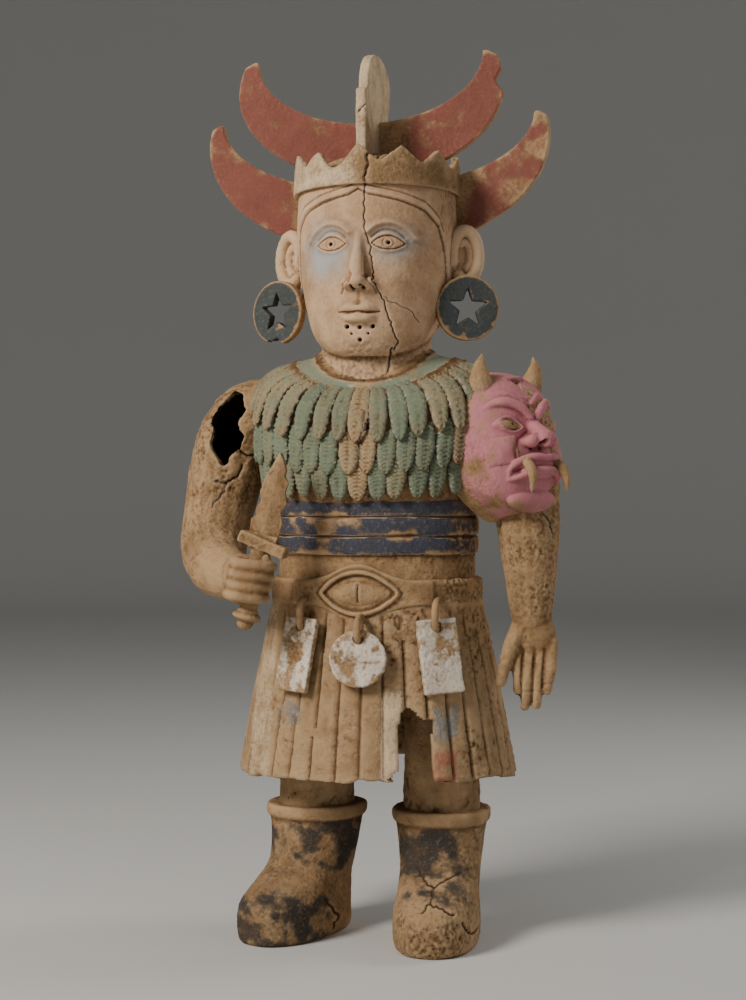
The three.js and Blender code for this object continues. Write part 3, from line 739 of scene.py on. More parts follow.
def makeEarDiscs(sizes):
    made = []
    for side in (-1, 1):
        clearSelection()
        bpy.ops.mesh.primitive_cylinder_add(vertices=96, radius=sizes["radius"] * mm,
                                            depth=sizes["thickness"] * mm)
        o = place(bpy.context.object, turn=(90, 0, 0))
        change(o, "BEVEL", width=1.8 * mm, segments=2, limit_method="ANGLE")
        star = []
        for i in range(10):
            a = math.pi / 2 + i * math.pi / 5
            r = sizes["starIn"] if i % 2 else sizes["starOut"]
            star.append((r * math.cos(a), r * math.sin(a)))
        cutAway(o, slab(star, 60))
        if side < 0:
            cutAway(o, slab([(-16, -36), (-8, -38), (0, -34), (7, -38), (15, -62), (-24, -62)], 60))
        bpy.context.view_layer.update()
        made.append(place(o, (side * sizes["x"] + sizes["shift"], sizes["y"], sizes["z"]),
                          (0, 0, side * sizes["turn"])))
    o = melted(joined(made), 1.3, 1)
    co, _ = points(o)
    weather(o, 0.5, seed=21, lump=0.3, pit=1.0, scab=0.6)
    cover = 0.95 - 0.5 * ramp(lumps(co, 14, 22, 2), 0.55, 0.8)
    for side in (-1, 1):
        middle = np.array([side * sizes["x"] + sizes["shift"], sizes["y"], sizes["z"]])
        own = co[:, 0] * side > 0
        edge = np.linalg.norm(co - middle, axis=1)
        cover = np.where(own, cover - 0.55 * ramp(edge, 37, 43), cover)
    paint(o, colours["slate"], np.clip(cover, 0, 1))
    return finishPiece(o, "earDiscs", paintedClay)


makeEarDiscs(discSizes)


# Headdress

crownSizes = {"halfWidth": 111, "halfDepth": 117, "wall": 9, "low": 980, "high": 1012, "rise": 23,
              "points": 12,
              "steep": 2.3, "shift": 2}


def makeCrown(sizes):
    w, d, wall, s = sizes["halfWidth"], sizes["halfDepth"], sizes["wall"], sizes["shift"]
    band = stack([[sizes["low"], w, d, s], [sizes["low"] + 2, w + 1, d + 1, s], [sizes["high"], w, d, s]],
                 288, ends=False)
    co, _ = points(band)
    turn = np.arctan2(co[:, 0] / w, -(co[:, 1] - s) / d) / (2 * math.pi) * sizes["points"]
    nearPoint = np.abs(turn - np.round(turn))
    high = co[:, 2] > sizes["high"] - 1
    tooth = np.clip(1 - sizes["steep"] * nearPoint, 0, 1)
    worn = 1 - 0.35 * lumps(co, 40, 31)
    gone = bump(co[:, 0] + 34, 17) * (co[:, 1] < 0)
    co[:, 2] += np.where(high, sizes["rise"] * tooth * worn * (1 - gone) - 8 * gone, 0)
    setPoints(band, co)
    change(band, "SOLIDIFY", thickness=wall * mm, offset=-1, use_rim=True)
    dome = stack(smoothRows([[985, 98, 104, 3], [1000, 94, 100, 3], [1014, 82, 88, 3], [1026, 62, 67, 3],
                             [1034, 36, 40, 3], [1037, 8, 8, 3]], 4), 72)
    o = melted(joined([band, dome]), 1.6, 1)
    co, _ = points(o)
    onDome = (np.hypot(co[:, 0] / (w - wall + 2), (co[:, 1] - s) / (d - wall + 2)) < 1).astype(float)
    weather(o, np.clip(0.3 + onDome + ramp(co[:, 0], 20, 80) * 0.5, 0, 1.3), seed=33, lump=0.7, pit=2.2,
            scab=1.4)
    paint(o, colours["palest"], 0.62 * (1 - onDome) * (co[:, 1] < 0) * ramp(-co[:, 0], -40, 30))
    crack(o, [(18, 1030), (12, 1016), (14, 1004), (9, 990), (11, 976)], 1.7, 3.5, where=facing, seed=34)
    return finishPiece(o, "crown", bodyClay)


makeCrown(crownSizes)

finSizes = {"x": -4, "thickness": 14,
            "outline": [(-78, 1004), (-78, 1112), (-63, 1117), (-61, 1134), (-52, 1150), (-36, 1163),
                        (-16, 1170),
                        (4, 1171.5), (26, 1170), (48, 1164), (64, 1154), (70, 1142), (66, 1118), (57, 1094),
                        (55, 1060), (54, 1004)]}


def makeFin(sizes):
    o = slab(sizes["outline"], sizes["thickness"])
    change(o, "BEVEL", width=2.2 * mm, segments=2, limit_method="ANGLE", angle_limit=math.radians(50))
    place(o, (sizes["x"], 0, 0), (0, 0, 90))
    melted(o, 1.3, 2)
    weather(o, 0.45, seed=41, lump=0.5, pit=1.2, scab=0.5)
    onSide = lambda co, normal: normal[:, 0] > 0.3
    crack(o, [(-62, 1116), (-58, 1098), (-47, 1078), (-36, 1062)], 1.2, 3, (1, 2), onSide, 42)
    crack(o, [(-40, 1150), (-36, 1128), (-38, 1110)], 0.8, 0.9, (1, 2), onSide, 43)
    crack(o, [(-10, 1080), (2, 1090)], 1.2, 2.5, where=lambda co, n: co[:, 1] < -70, seed=44)
    co, _ = points(o)
    paint(o, colours["palest"], 0.55 + 0.3 * lumps(co, 40, 45))
    return finishPiece(o, "crownFin", bodyClay)


makeFin(finSizes)

crescentSizes = {
    "upper": {"x": -11, "y": 6, "z": 1128, "outer": (183, 119), "inner": (155, 90), "innerZ": 1172,
              "tipZ": 1172},
    "lower": {"x": -7, "y": 30, "z": 1060, "outer": (237, 148), "inner": (216, 97), "innerZ": 1094,
              "tipZ": 1094},
    "thickness": 13,
}


def makeCrescents(sizes):
    made = []
    for key in ("upper", "lower"):
        c = sizes[key]
        outline = []
        over = math.asin((c["tipZ"] - 6 - c["z"]) / c["outer"][1])
        for a in np.linspace(math.pi + over * -1, 2 * math.pi + over, 60):
            outline.append((c["outer"][0] * math.cos(a), c["z"] + c["outer"][1] * math.sin(a)))
        outline.append((c["inner"][0] + 6, c["tipZ"]))
        for a in np.linspace(2 * math.pi, math.pi, 50):
            outline.append((c["inner"][0] * math.cos(a), c["innerZ"] + c["inner"][1] * math.sin(a)))
        outline.append((-c["inner"][0] - 6, c["tipZ"]))
        o = slab(outline, sizes["thickness"])
        if key == "upper":
            cutAway(o, slab([(187, 1180), (176, 1160), (179, 1147), (171, 1133), (177, 1122), (189, 1110),
                             (187, 1096), (212, 1090), (212, 1190)], 60))
        change(o, "BEVEL", width=2.4 * mm, segments=2, limit_method="ANGLE", angle_limit=math.radians(50))
        made.append(place(o, (c["x"], c["y"], 0)))
    o = melted(joined(made), 1.8, 2)
    co, normal = points(o)
    weather(o, 0.45, seed=51, lump=0.9, pit=1.2, scab=0.7)
    flat = ramp(np.abs(normal[:, 1]), 0.2, 0.6)
    cover = 0.98 * flat - 0.42 * ramp(lumps(co, 26, 52, 3), 0.5, 0.78)
    out = np.abs(co[:, 0])
    upper = co[:, 1] < 18
    cover -= np.where(upper, 0.75 * ramp(-out, -66, -24) * (co[:, 0] > 0), 0.75 * ramp(-out, -134, -104))
    lowerTips = 0.55 * ramp(co[:, 2], 1068, 1088) * (co[:, 0] > 0)
    cover -= np.where(upper, 0.5 * ramp(co[:, 2], 1160, 1170), lowerTips)
    cover -= np.where(~upper & (co[:, 0] > 0), 0.45 * ramp(lumps(co, 30, 53), 0.4, 0.7), 0)
    broken = upper & (co[:, 0] > 148) & (normal[:, 0] > 0.35) & (co[:, 2] > 1105) & (co[:, 2] < 1160)
    paint(o, colours["red"], np.clip(cover, 0, 1))
    paint(o, colours["orange"], broken * 0.9)
    return finishPiece(o, "crescents", wornPaint)


makeCrescents(crescentSizes)
print("headdress done")


# Cape: the shoulders under the feathers, as [half width, half depth, height in front, height at the sides]

capeSizes = {
    "rows": [[70, 62, 744, 780], [82, 71, 735, 772], [114, 84, 724, 764], [144, 94, 712, 752],
             [165, 107, 686, 727],
             [171, 113, 656, 692], [168, 115, 636, 664], [162, 115, 615, 638], [156, 113, 596, 613],
             [148, 109, 576, 587], [136, 101, 562, 570]],
    "power": 2.2,
    "under": 7,
    "feathers": {"count": (34, 36, 33), "row": (5.35, 7.4, 9.1), "reach": (3.3, 2.7, 2.7), "width": 26.0,
                 "turn": (0, 0.5, 0)},
}


# Where points spaced evenly round a row lie, and how far a step of one radian there goes.
def evenTurns(level, count, start):
    phi = np.linspace(-math.pi, math.pi, 2001)
    ring = capePoint(phi, np.full(len(phi), float(level)), 0)
    steps = np.linalg.norm(np.diff(ring[:, :2], axis=0), axis=1)
    run = np.concatenate([[0], np.cumsum(steps)]) / steps.sum()
    turns = np.interp(((np.arange(count) + start) / count + 0.5) % 1, run, phi)
    span = np.interp(turns, (phi[1:] + phi[:-1]) / 2, evenSpan(steps / (phi[1] - phi[0])))
    return turns, span


def evenSpan(steps):
    return np.convolve(np.concatenate([steps[-60:], steps, steps[:60]]), np.ones(121) / 121, "valid")


def capePoint(phi, level, lift):
    # phi is 0 in front and grows towards +x. Level counts down the rows.
    rows = np.array(capeSizes["rows"], float)
    level = np.clip(level, 0, len(rows) - 1)
    i = np.clip(np.floor(level).astype(int), 0, len(rows) - 2)
    f = (level - i)[:, None]
    prev, here = rows[np.maximum(i - 1, 0)], rows[i]
    there, after = rows[i + 1], rows[np.minimum(i + 2, len(rows) - 1)]
    row = 0.5 * (2 * here + (there - prev) * f + (2 * prev - 5 * here + 4 * there - after) * f ** 2
                 + (3 * here - prev - 3 * there + after) * f ** 3)
    c, s = np.sin(phi), -np.cos(phi)
    power = 2 / capeSizes["power"]
    cx, sy = np.sign(c) * np.abs(c) ** power, np.sign(s) * np.abs(s) ** power
    frontness = s * s
    slope = ramp(level, 2.5, 5)  # how upright the skin is
    x = cx * (row[:, 0] + lift * (0.35 + 0.65 * slope))
    y = sy * (row[:, 1] + lift * (0.35 + 0.65 * slope))
    z = row[:, 3] + (row[:, 2] - row[:, 3]) * frontness + lift * (1 - slope) * 0.9
    return np.stack([x, y, z], 1)


def makeCape(sizes):
    sides, levels = int(300 / coarse), int(84 / coarse)
    o = stack([[i, 10, 10, 0] for i in range(levels + 1)], sides)
    co, _ = points(o)
    phi = np.arctan2(co[:, 0], -co[:, 1])
    level = co[:, 2] / levels * (len(sizes["rows"]) - 1)
    co = capePoint(phi, level, -sizes["under"] * ramp(level, 1.2, 3.5))
    # the raised collar
    centre = np.interp(np.abs(phi), [0, 0.5, 1.1, 1.6, 3.2], [1.9, 1.85, 1.55, 1.35, 1.3])
    onCollar = ramp(-np.abs(level - centre), -0.44, -0.34)
    setPoints(o, co)
    co, normal = points(o)
    setPoints(o, co + normal * (3.2 * onCollar)[:, None])
    weather(o, 1 - onCollar, seed=61, lump=0.9, pit=2.2, scab=1.3)
    front = np.abs(phi) < 1.75
    gap = 1 - ramp(-np.abs(co[:, 0] + 2 - (co[:, 2] - 720) * 0.1), -13, -8)
    paint(o, colours["turquoise"], np.where(front, 0.72 * onCollar * gap, 0.3 * onCollar))
    crack(o, [(34, 740), (24, 725), (19, 711), (13, 703), (9, 684), (8, 667)], 1.8, 4, where=facing, seed=62)
    return finishPiece(o, "capeUnderFeathers", bodyClay)


makeCape(capeSizes)


# One feather, then its copies: u runs from root to tip, v across.
def featherShape():
    clearSelection()
    across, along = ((8, 50))
    bpy.ops.mesh.primitive_grid_add(x_subdivisions=across, y_subdivisions=along, size=2)
    o = bpy.context.object
    bpy.ops.object.mode_set(mode="EDIT")
    bpy.ops.mesh.select_all(action="SELECT")
    bpy.ops.mesh.extrude_region_move(TRANSFORM_OT_translate={"value": (0, 0, 1)})
    bpy.ops.mesh.select_all(action="SELECT")
    bpy.ops.mesh.normals_make_consistent(inside=False)
    bpy.ops.object.mode_set(mode="OBJECT")
    return o


def makeFeathers(sizes):
    first = featherShape()
    flat = np.array([v.co for v in first.data.vertices])
    v, u, top = flat[:, 0], (1 - flat[:, 1]) / 2, flat[:, 2]
    rng = np.random.default_rng(7)
    copies = []
    feathers = sizes["feathers"]
    for row, (count, tip, reach) in enumerate(zip(feathers["count"], feathers["row"], feathers["reach"])):
        turns, spans = evenTurns(tip, count, feathers["turn"][row])
        for middle, span in zip(turns, spans):
            middle += rng.normal(0, 0.006)
            length = 25.0 * reach
            w = feathers["width"] * rng.uniform(0.92, 1.04) / 2
            end = 19.0 / length
            shape = np.interp(u, [0, 0.5, 1 - end * 1.7, 1 - end], [0.85, 1.0, 1.0, 0.84])
            rounding = np.clip(1 - np.clip((u - 1 + end) / end, 0, 1) ** 1.7, 0, 1) ** 0.75
            half = w * np.where(u > 1 - end, shape * (0.12 + 0.88 * rounding), shape)
            level = tip - reach * (1 - u) + rng.normal(0, 0.06)
            radius = span * np.interp(level, [0, 2, 3, 5, 10], [0.5, 0.75, 0.88, 1, 1])
            sway = rng.normal(0, 1.2)
            phi = middle + (v * half + sway * u) / radius
            bulge = 4.4 * np.sqrt(np.clip(1 - np.abs(v) ** 3.5, 0, 1)) * (1 - 0.3 * ramp(u, 1 - end * 0.4, 1))
            barbs = 1.3 * np.cos((u * length - np.abs(v) * 11) / 6.4 * 2 * math.pi)
            barbs *= ramp(np.abs(v), 0.06, 0.22)
            barbs *= ramp(-np.abs(v), -1.0, -0.8)
            spine = -1.0 * bump(v, 0.1)
            lift = -8.0 + 9.5 * u + top * (bulge + barbs + spine) + (row == 2) * 0.5
            co = capePoint(phi, level, lift)
            o = first.copy()
            o.data = first.data.copy()
            bpy.context.collection.objects.link(o)
            setPoints(o, co)
            x = math.sin(middle) * 150
            cover = 0.84 + rng.uniform(-0.24, 0.14)
            if abs(x + 4) < 13 and abs(middle) < 1.5:
                cover = 0.3
            if row == 0 and (x > 70 or x < -70):
                cover = 0.55
            if row == 1 and x > 105:
                cover = 0.4
            if abs(middle) > 1.7:
                cover = rng.uniform(0.0, 0.35)
            cover = cover - 0.15 * ramp(u, 0.75, 1) + 0.1 * rng.random()
            paint(o, colours["green"], np.clip(cover * top, 0, 1))
            copies.append(o)
    bpy.data.objects.remove(first)
    o = joined(copies)
    co, normal = points(o)
    push = (lumps(co, 9, 71, 2) - 0.5) * 1.1 - ramp(lumps(co, 4, 72), 0.7, 0.9) * 0.9
    # the middle of the breast has lost its face, and a crack runs down it
    line = jagged([(9, 690), (8, 667), (5, 653), (1, 648), (2, 637), (3, 620)], 8, 3)
    d = np.where(co[:, 1] < 0, away(co, line), 1e3)
    push -= 3.5 * bump(d, 1.6)
    setPoints(o, co + normal * push[:, None])
    # Dark paint along the crack, as painted shade in its gap.
    paint(o, colours["crack"], ramp(-d, -2.0, -0.6) * 0.95)
    keep(o, "rough", ramp(lumps(co, 30, 73), 0.45, 0.7) * 0.6)
    # hollowScale strengthens the painted shade in the gaps between the feathers.
    return finishPiece(o, "feathers", featherClay, hollowScale=1.1)


makeFeathers(capeSizes)
print("cape done")


# Trunk with the three waist bands

trunkSizes = {"halfWidth": 132, "halfDepth": 96, "low": 418, "high": 606, "bandsLow": 504, "bandsHigh": 577,
              "bands": 3, "groove": 3.2, "proud": 4.0, "power": 2.2}


def makeTrunk(sizes):
    step = 1.6 * coarse
    levels = np.arange(sizes["low"], sizes["high"], step)
    o = stack([[z, sizes["halfWidth"], sizes["halfDepth"], 0] for z in levels], int(300 / coarse),
              sizes["power"])
    co, normal = points(o)
    flat = normal.copy()
    flat[:, 2] = 0
    z = co[:, 2] + (lumps(co * [1, 1, 0], 60, 81) - 0.5) * 5
    pitch = (sizes["bandsHigh"] - sizes["bandsLow"] + sizes["groove"]) / sizes["bands"]
    inBand = (z - sizes["bandsLow"]) % pitch
    edge = np.minimum(inBand, pitch - sizes["groove"] - inBand)
    on = (z > sizes["bandsLow"]) & (z < sizes["bandsHigh"])
    rise = np.where(on, sizes["proud"] * ramp(edge, -1.6, 1.2) + 0.5 * ramp(edge, 0, 9), 0)
    rise += np.where(z >= sizes["bandsHigh"], 4, 0)
    setPoints(o, co + flat * rise[:, None])
    front = co[:, 1] < 0
    side = ramp(np.abs(co[:, 0]), 92, 128)
    weather(o, np.where(on, 0.3 + side, 0.6 + 0.6 * side) + (~front) * 0.4, seed=82, lump=0.9, pit=2.2,
            scab=1.3)
    here = lumps(co, 22, 83, 2)
    cover = np.where(on & (edge > -0.6), 1.0 - 0.6 * ramp(here, 0.5, 0.72), 0)
    cover -= 0.4 * ramp(co[:, 0], 96, 120) + np.where(front, 0, 0.3)
    lowest = np.where(on, ramp(-inBand, -6, -1), 0)
    cover -= 0.4 * lowest * ramp(lumps(co, 16, 84), 0.4, 0.6)
    paint(o, colours["indigo"], np.clip(cover, 0, 1))
    crack(o, [(-15, 580), (-14, 560), (-16, 540), (-17, 520), (-18, 500)], 1.0, 1.2, where=facing, seed=85)
    return finishPiece(o, "trunkAndBands", bodyClay)


makeTrunk(trunkSizes)


# Belt with the eye buckle

beltSizes = {"low": 437, "high": 472, "halfWidth": 143, "halfDepth": 107, "buckleZ": 455,
             "bend": 101}  # bend is how far the buckle follows the waist round


# Half the height of the buckle's plate, which flares from the strap to its middle.
def bell(x, top, foot, spread):
    return top + foot * math.exp(-(x / spread) ** 2)


def almond(halfWidth, halfHeight, z, count=40):
    t = np.linspace(-1, 1, count)
    over = [(halfWidth * k, z - halfHeight * (1 - k * k) ** 0.9) for k in t]
    return over + [(x, 2 * z - y) for x, y in over[-2:0:-1]]


def makeBelt(sizes):
    w, d, zc = sizes["halfWidth"], sizes["halfDepth"], sizes["buckleZ"]
    strap = stack([[sizes["low"], w - 2, d - 2, 0], [sizes["low"] + 3, w, d, 0], [sizes["high"] - 3, w, d, 0],
                   [sizes["high"], w - 2, d - 2, 0]], 160)
    cutAway(strap, stack([[sizes["low"] - 9, w - 15, d - 15, 0], [sizes["high"] + 9, w - 15, d - 15, 0]], 96))
    over = [(x, zc + bell(x, 15.5, 22.5, 40)) for x in range(-94, 95, 4)]
    plate = slab(over + [(x, 2 * zc - z) for x, z in reversed(over)], 16, at=(0, -1, 0))
    rim = tube([[x, -10.5, z, 3.6] for x, z in almond(51, 27, zc, 9)] + [[-51, -10.5, zc, 3.6]],
               roundEnds=False)
    eyeball = ball((0, -3, zc), (41, 12, 17.5))
    parts = [plate, rim, eyeball]
    wrapped = []
    for part in parts:
        change(part, "REMESH", mode="VOXEL", voxel_size=2 * mm)
        co, _ = points(part)
        co[:, 1] -= sizes["bend"] * np.sqrt(np.clip(1 - (co[:, 0] / w) ** 2, 0.02, 1))
        setPoints(part, co)
        wrapped.append(part)
    o = melted(joined([strap, *wrapped]), 1.6, 3)
    co, normal = points(o)
    front = co[:, 1] < -60
    t = np.linspace(-1, 1, 25)
    push = np.zeros(len(co))
    lids = [np.stack([45 * t, zc + 22 * s * (1 - t * t) ** 0.9], 1) for s in (-1, 1)]
    for lid in lids:
        push -= 1.5 * bump(away(co, lid), 1.9)
    push -= 2.4 * bump(away(co, [(0, zc - 11), (0, zc + 11)]), 1.7)
    for s in (-1, 1):
        push -= 0.9 * bump(away(co, np.stack([57 * t, zc + 31.5 * s * (1 - t * t) ** 0.9], 1)), 1.5)
    setPoints(o, co + normal * np.where(front, push, 0)[:, None])
    worn = ramp(co[:, 0], 92, 120)
    weather(o, 0.35 + 0.9 * worn + 0.4 * (co[:, 1] > 0), seed=91, lump=0.7, pit=1.9, scab=1.1)
    # The slit down the buckle's eye is painted dark, as painted shade in the groove.
    paint(o, colours["crack"], 0.8 * ramp(-away(co, [(0, zc - 10), (0, zc + 10)]), -1.6, -0.5) * front)
    return finishPiece(o, "beltAndBuckle", bodyClay)


makeBelt(beltSizes)


# Skirt of clay strips

skirtSizes = {"rows": [[217, 187, 146, 0], [330, 166, 127, 0], [444, 142, 106, 0]], "strips": 36, "wall": 13,
              "groove": 4.5}


def makeSkirt(sizes):
    perStrip = 8
    sides = sizes["strips"] * perStrip
    levels = int(92 / coarse)
    o = stack(smoothRows(sizes["rows"], levels // 2), sides, ends=False)
    co, _ = points(o)
    turn = np.arctan2(co[:, 0] / 160, -co[:, 1] / 122) / (2 * math.pi) * sizes["strips"] + 0.79
    strip = np.floor(turn)
    across = turn - strip
    fromGroove = np.minimum(across, 1 - across) * 2  # 0 in the groove, 1 mid strip
    rng = np.random.default_rng(12)
    proud = rng.normal(0, 0.55, sizes["strips"] + 2)
    drop = rng.normal(0, 2.2, sizes["strips"] + 2)
    which = (strip.astype(int)) % sizes["strips"]
    out = co * [1, 1, 0]
    out /= np.linalg.norm(out, axis=1)[:, None]
    fade = ramp(-co[:, 2], -436, -400)
    push = proud[which] * fade - sizes["groove"] * (fromGroove < 0.12) * fade - 0.4 * (1 - fromGroove) * fade
    low = ramp(-co[:, 2], -236, -217)
    co += out * push[:, None]
    co[:, 2] += (drop[which] + (lumps(co, 12, 101) - 0.5) * 5) * low
    setPoints(o, co)
    # the front has lost a strip and a corner
    top = np.interp(co[:, 0], [58, 63, 68, 74, 80, 86, 92, 99], [300, 306, 309, 306, 300, 295, 293, 296])
    corner = np.interp(co[:, 0], [38, 46, 52, 57, 62], [205, 219, 222, 230, 236])
    lost = (co[:, 0] > 59.5) & (co[:, 0] < 98) & (co[:, 2] < top + (lumps(co, 6, 104) - 0.5) * 4)
    lost |= (co[:, 0] > 40) & (co[:, 0] <= 60) & (co[:, 2] < corner + (lumps(co, 4, 105) - 0.5) * 4)
    lost &= co[:, 1] < 0
    bpy.context.view_layer.objects.active = o
    bpy.ops.object.mode_set(mode="EDIT")
    bpy.ops.mesh.select_mode(type="VERT")
    bpy.ops.mesh.select_all(action="DESELECT")
    bpy.ops.object.mode_set(mode="OBJECT")
    o.data.vertices.foreach_set("select", lost)
    bpy.ops.object.mode_set(mode="EDIT")
    bpy.ops.mesh.delete(type="VERT")
    bpy.ops.object.mode_set(mode="OBJECT")
    change(o, "SOLIDIFY", thickness=sizes["wall"] * mm, offset=-1, use_rim=True)
    co, normal = points(o)
    front = (co[:, 1] < 0).astype(float)
    coarseSide = ramp(co[:, 0], 126, 152) + ramp(-np.abs(co[:, 0] - 66), -46, -20) * ramp(co[:, 2], 300, 340)
    weather(o, np.clip(0.6 + 0.7 * coarseSide + 0.25 * (1 - front), 0, 1.4), seed=102, lump=1.0, pit=2.4,
            scab=1.5)
    co, _ = points(o)
    x, z, broken = co[:, 0], co[:, 2], lumps(co, 18, 103, 2)
    isFront = (co[:, 1] < 0)
    nearGap = np.where(isFront & (x > 97) & (x < 128), 1.15, 0)
    paint(o, colours["brickDust"], nearGap * ramp(-z, -270, -246) * (0.72 - 0.4 * ramp(broken, 0.45, 0.7)))
    blue = nearGap * ramp(z, 250, 275) * ramp(-z, -330, -300)
    paint(o, colours["greyBlue"], blue * (0.66 - 0.3 * ramp(broken, 0.45, 0.7)))
    paint(o, colours["greyBlue"], isFront * bump(np.hypot((x + 88) / 1.3, z - 300), 26) * 0.55)
    paint(o, colours["palest"], isFront * ramp(-np.abs(x - 48), -16, -11) * ramp(-z, -345, -325) * 0.78)
    paint(o, colours["palest"], isFront * ramp(-np.abs(x + 138), -26, -16) * 0.55)
    return finishPiece(o, "pleatedSkirt", bodyClay)


makeSkirt(skirtSizes)
print("belt and skirt done")


# Legs and boots, as [z, half width, half length, how far the middle lies towards the toe]

bootSizes = {
    "rows": [[0, 51, 94, -50], [9, 55, 98, -51], [42, 55, 97, -50], [68, 52, 80, -33], [96, 53, 59, -10],
             [146, 59, 60, 0], [150, 60, 61, 0], [154, 64, 65, 0], [164, 65, 66, 0], [168, 63, 64, 0]],
    "feet": [{"x": -84, "y": 2, "turn": -19}, {"x": 90, "y": -8, "turn": 4}],
    "power": 2.35,
    "cracks": [[(70, 98), (82, 86), (98, 80), (99, 69), (91, 57)], [(98, 80), (111, 88), (127, 94)],
               [(99, 66), (116, 62), (130, 54)], [(140, 43), (143, 33), (149, 23)],
               [(-52, 52), (-46, 36), (-42, 22), (-46, 8)]],
}


def makeBoots(sizes):
    made = []
    for foot in sizes["feet"]:
        boot = stack(smoothRows(sizes["rows"], 3), 64, sizes["power"])
        co, _ = points(boot)
        # the toe rises and its tip is blunt
        toe = ramp(-co[:, 1], 60, 150)
        co[:, 2] += 7 * toe * ramp(co[:, 2], 12, 40)
        setPoints(boot, co)
        made.append(place(boot, (foot["x"], foot["y"], 0), (0, 0, foot["turn"])))
    o = melted(joined(made), 1.95, 4)
    co, _ = points(o)
    toes = ramp(-co[:, 1], 95, 130) * (co[:, 0] > 0)
    crust = 0.35 + 1.0 * toes * ramp(-co[:, 2], -64, -46) + 0.4 * ramp(co[:, 0], 118, 140)
    weather(o, np.clip(crust, 0, 1.3), seed=111, lump=1.6, pit=2.2, scab=1.4)
    co, _ = points(o)
    co[:, 2] = np.maximum(co[:, 2], 0.3)
    setPoints(o, co)
    x, y, z = co.T
    z = z + (lumps(co, 30, 115, 2) - 0.5) * 50 * ramp(-z, -150, -120)
    cloud = lumps(co, 22, 112, 3)
    left, right = x < 3, x >= 3
    shaftLeft = left * ramp(z, 84, 102) * ramp(-z, -154, -146) * ramp(-y, -30, 0)
    toeLeft = left * ramp(-y, 55, 75) * ramp(-z, -62, -50)
    shaftRight = right * ramp(z, 66, 88) * ramp(-z, -152, -144) * ramp(-x, -128, -112) * ramp(-y, -30, 0)
    patch = right * bump(np.hypot(x - 122, z - 76), 22) + left * bump(np.hypot(x + 104, z - 40), 26)
    cover = shaftLeft * 0.92 + toeLeft * 0.85 + shaftRight * 0.95 + patch * 0.7 + 0.25 * (z < 150)
    cover = np.clip(cover, 0, 1) * (0.25 + 0.75 * ramp(cloud, 0.36, 0.62))
    behind = ramp(y, 0, 30) * ramp(z, 40, 70) * ramp(-z, -152, -146) * 0.8 * ramp(cloud, 0.42, 0.58)
    paint(o, colours["black"], np.clip(np.maximum(cover, behind), 0, 0.95))
    for n, line in enumerate(sizes["cracks"]):
        crack(o, line, 1.0, 2.6, where=lambda c, nn: c[:, 1] < 0, seed=113 + n)
    return finishPiece(o, "boots", bootClay)


makeBoots(bootSizes)

legSizes = {"low": 140, "high": 430, "radius": (51, 47)}


def makeLegs(sizes):
    made = []
    for foot in bootSizes["feet"]:
        rows = [[z, np.interp(z, (sizes["low"], sizes["high"]), sizes["radius"]),
                 np.interp(z, (sizes["low"], sizes["high"]), sizes["radius"]) + 1, 0]
                for z in np.arange(sizes["low"], sizes["high"], 4 * coarse)]
        made.append(place(stack(rows, 84), (foot["x"], foot["y"], 0)))
    o = joined(made)
    weather(o, 0.9, seed=121, lump=1.6, pit=2.2, scab=1.4)
    return finishPiece(o, "legs", bodyClay)


makeLegs(legSizes)
print("boots and legs done")


# Arms and hands, as [x, y, z, radius]

armSizes = {
    "right": [[-128, 0, 700, 36], [-172, 0, 690, 50], [-196, -1, 660, 53], [-210, -4, 612, 51],
              [-219, -9, 562, 48],
              [-222, -22, 520, 46], [-206, -60, 490, 41], [-181, -98, 479, 35], [-158, -126, 475, 28]],
    "left": [[128, 0, 700, 36], [172, 0, 690, 50], [190, 0, 655, 51], [199, -1, 605, 48], [204, -2, 555, 43],
             [207, -3, 505, 38], [209, -4, 460, 33], [210, -5, 424, 28]],
    "grip": (-126, -152, 473), "lean": 13,
    "fingers": [[194, 196, 322], [209, 205, 301], [224, 220, 303], [237, 234, 322]],
}


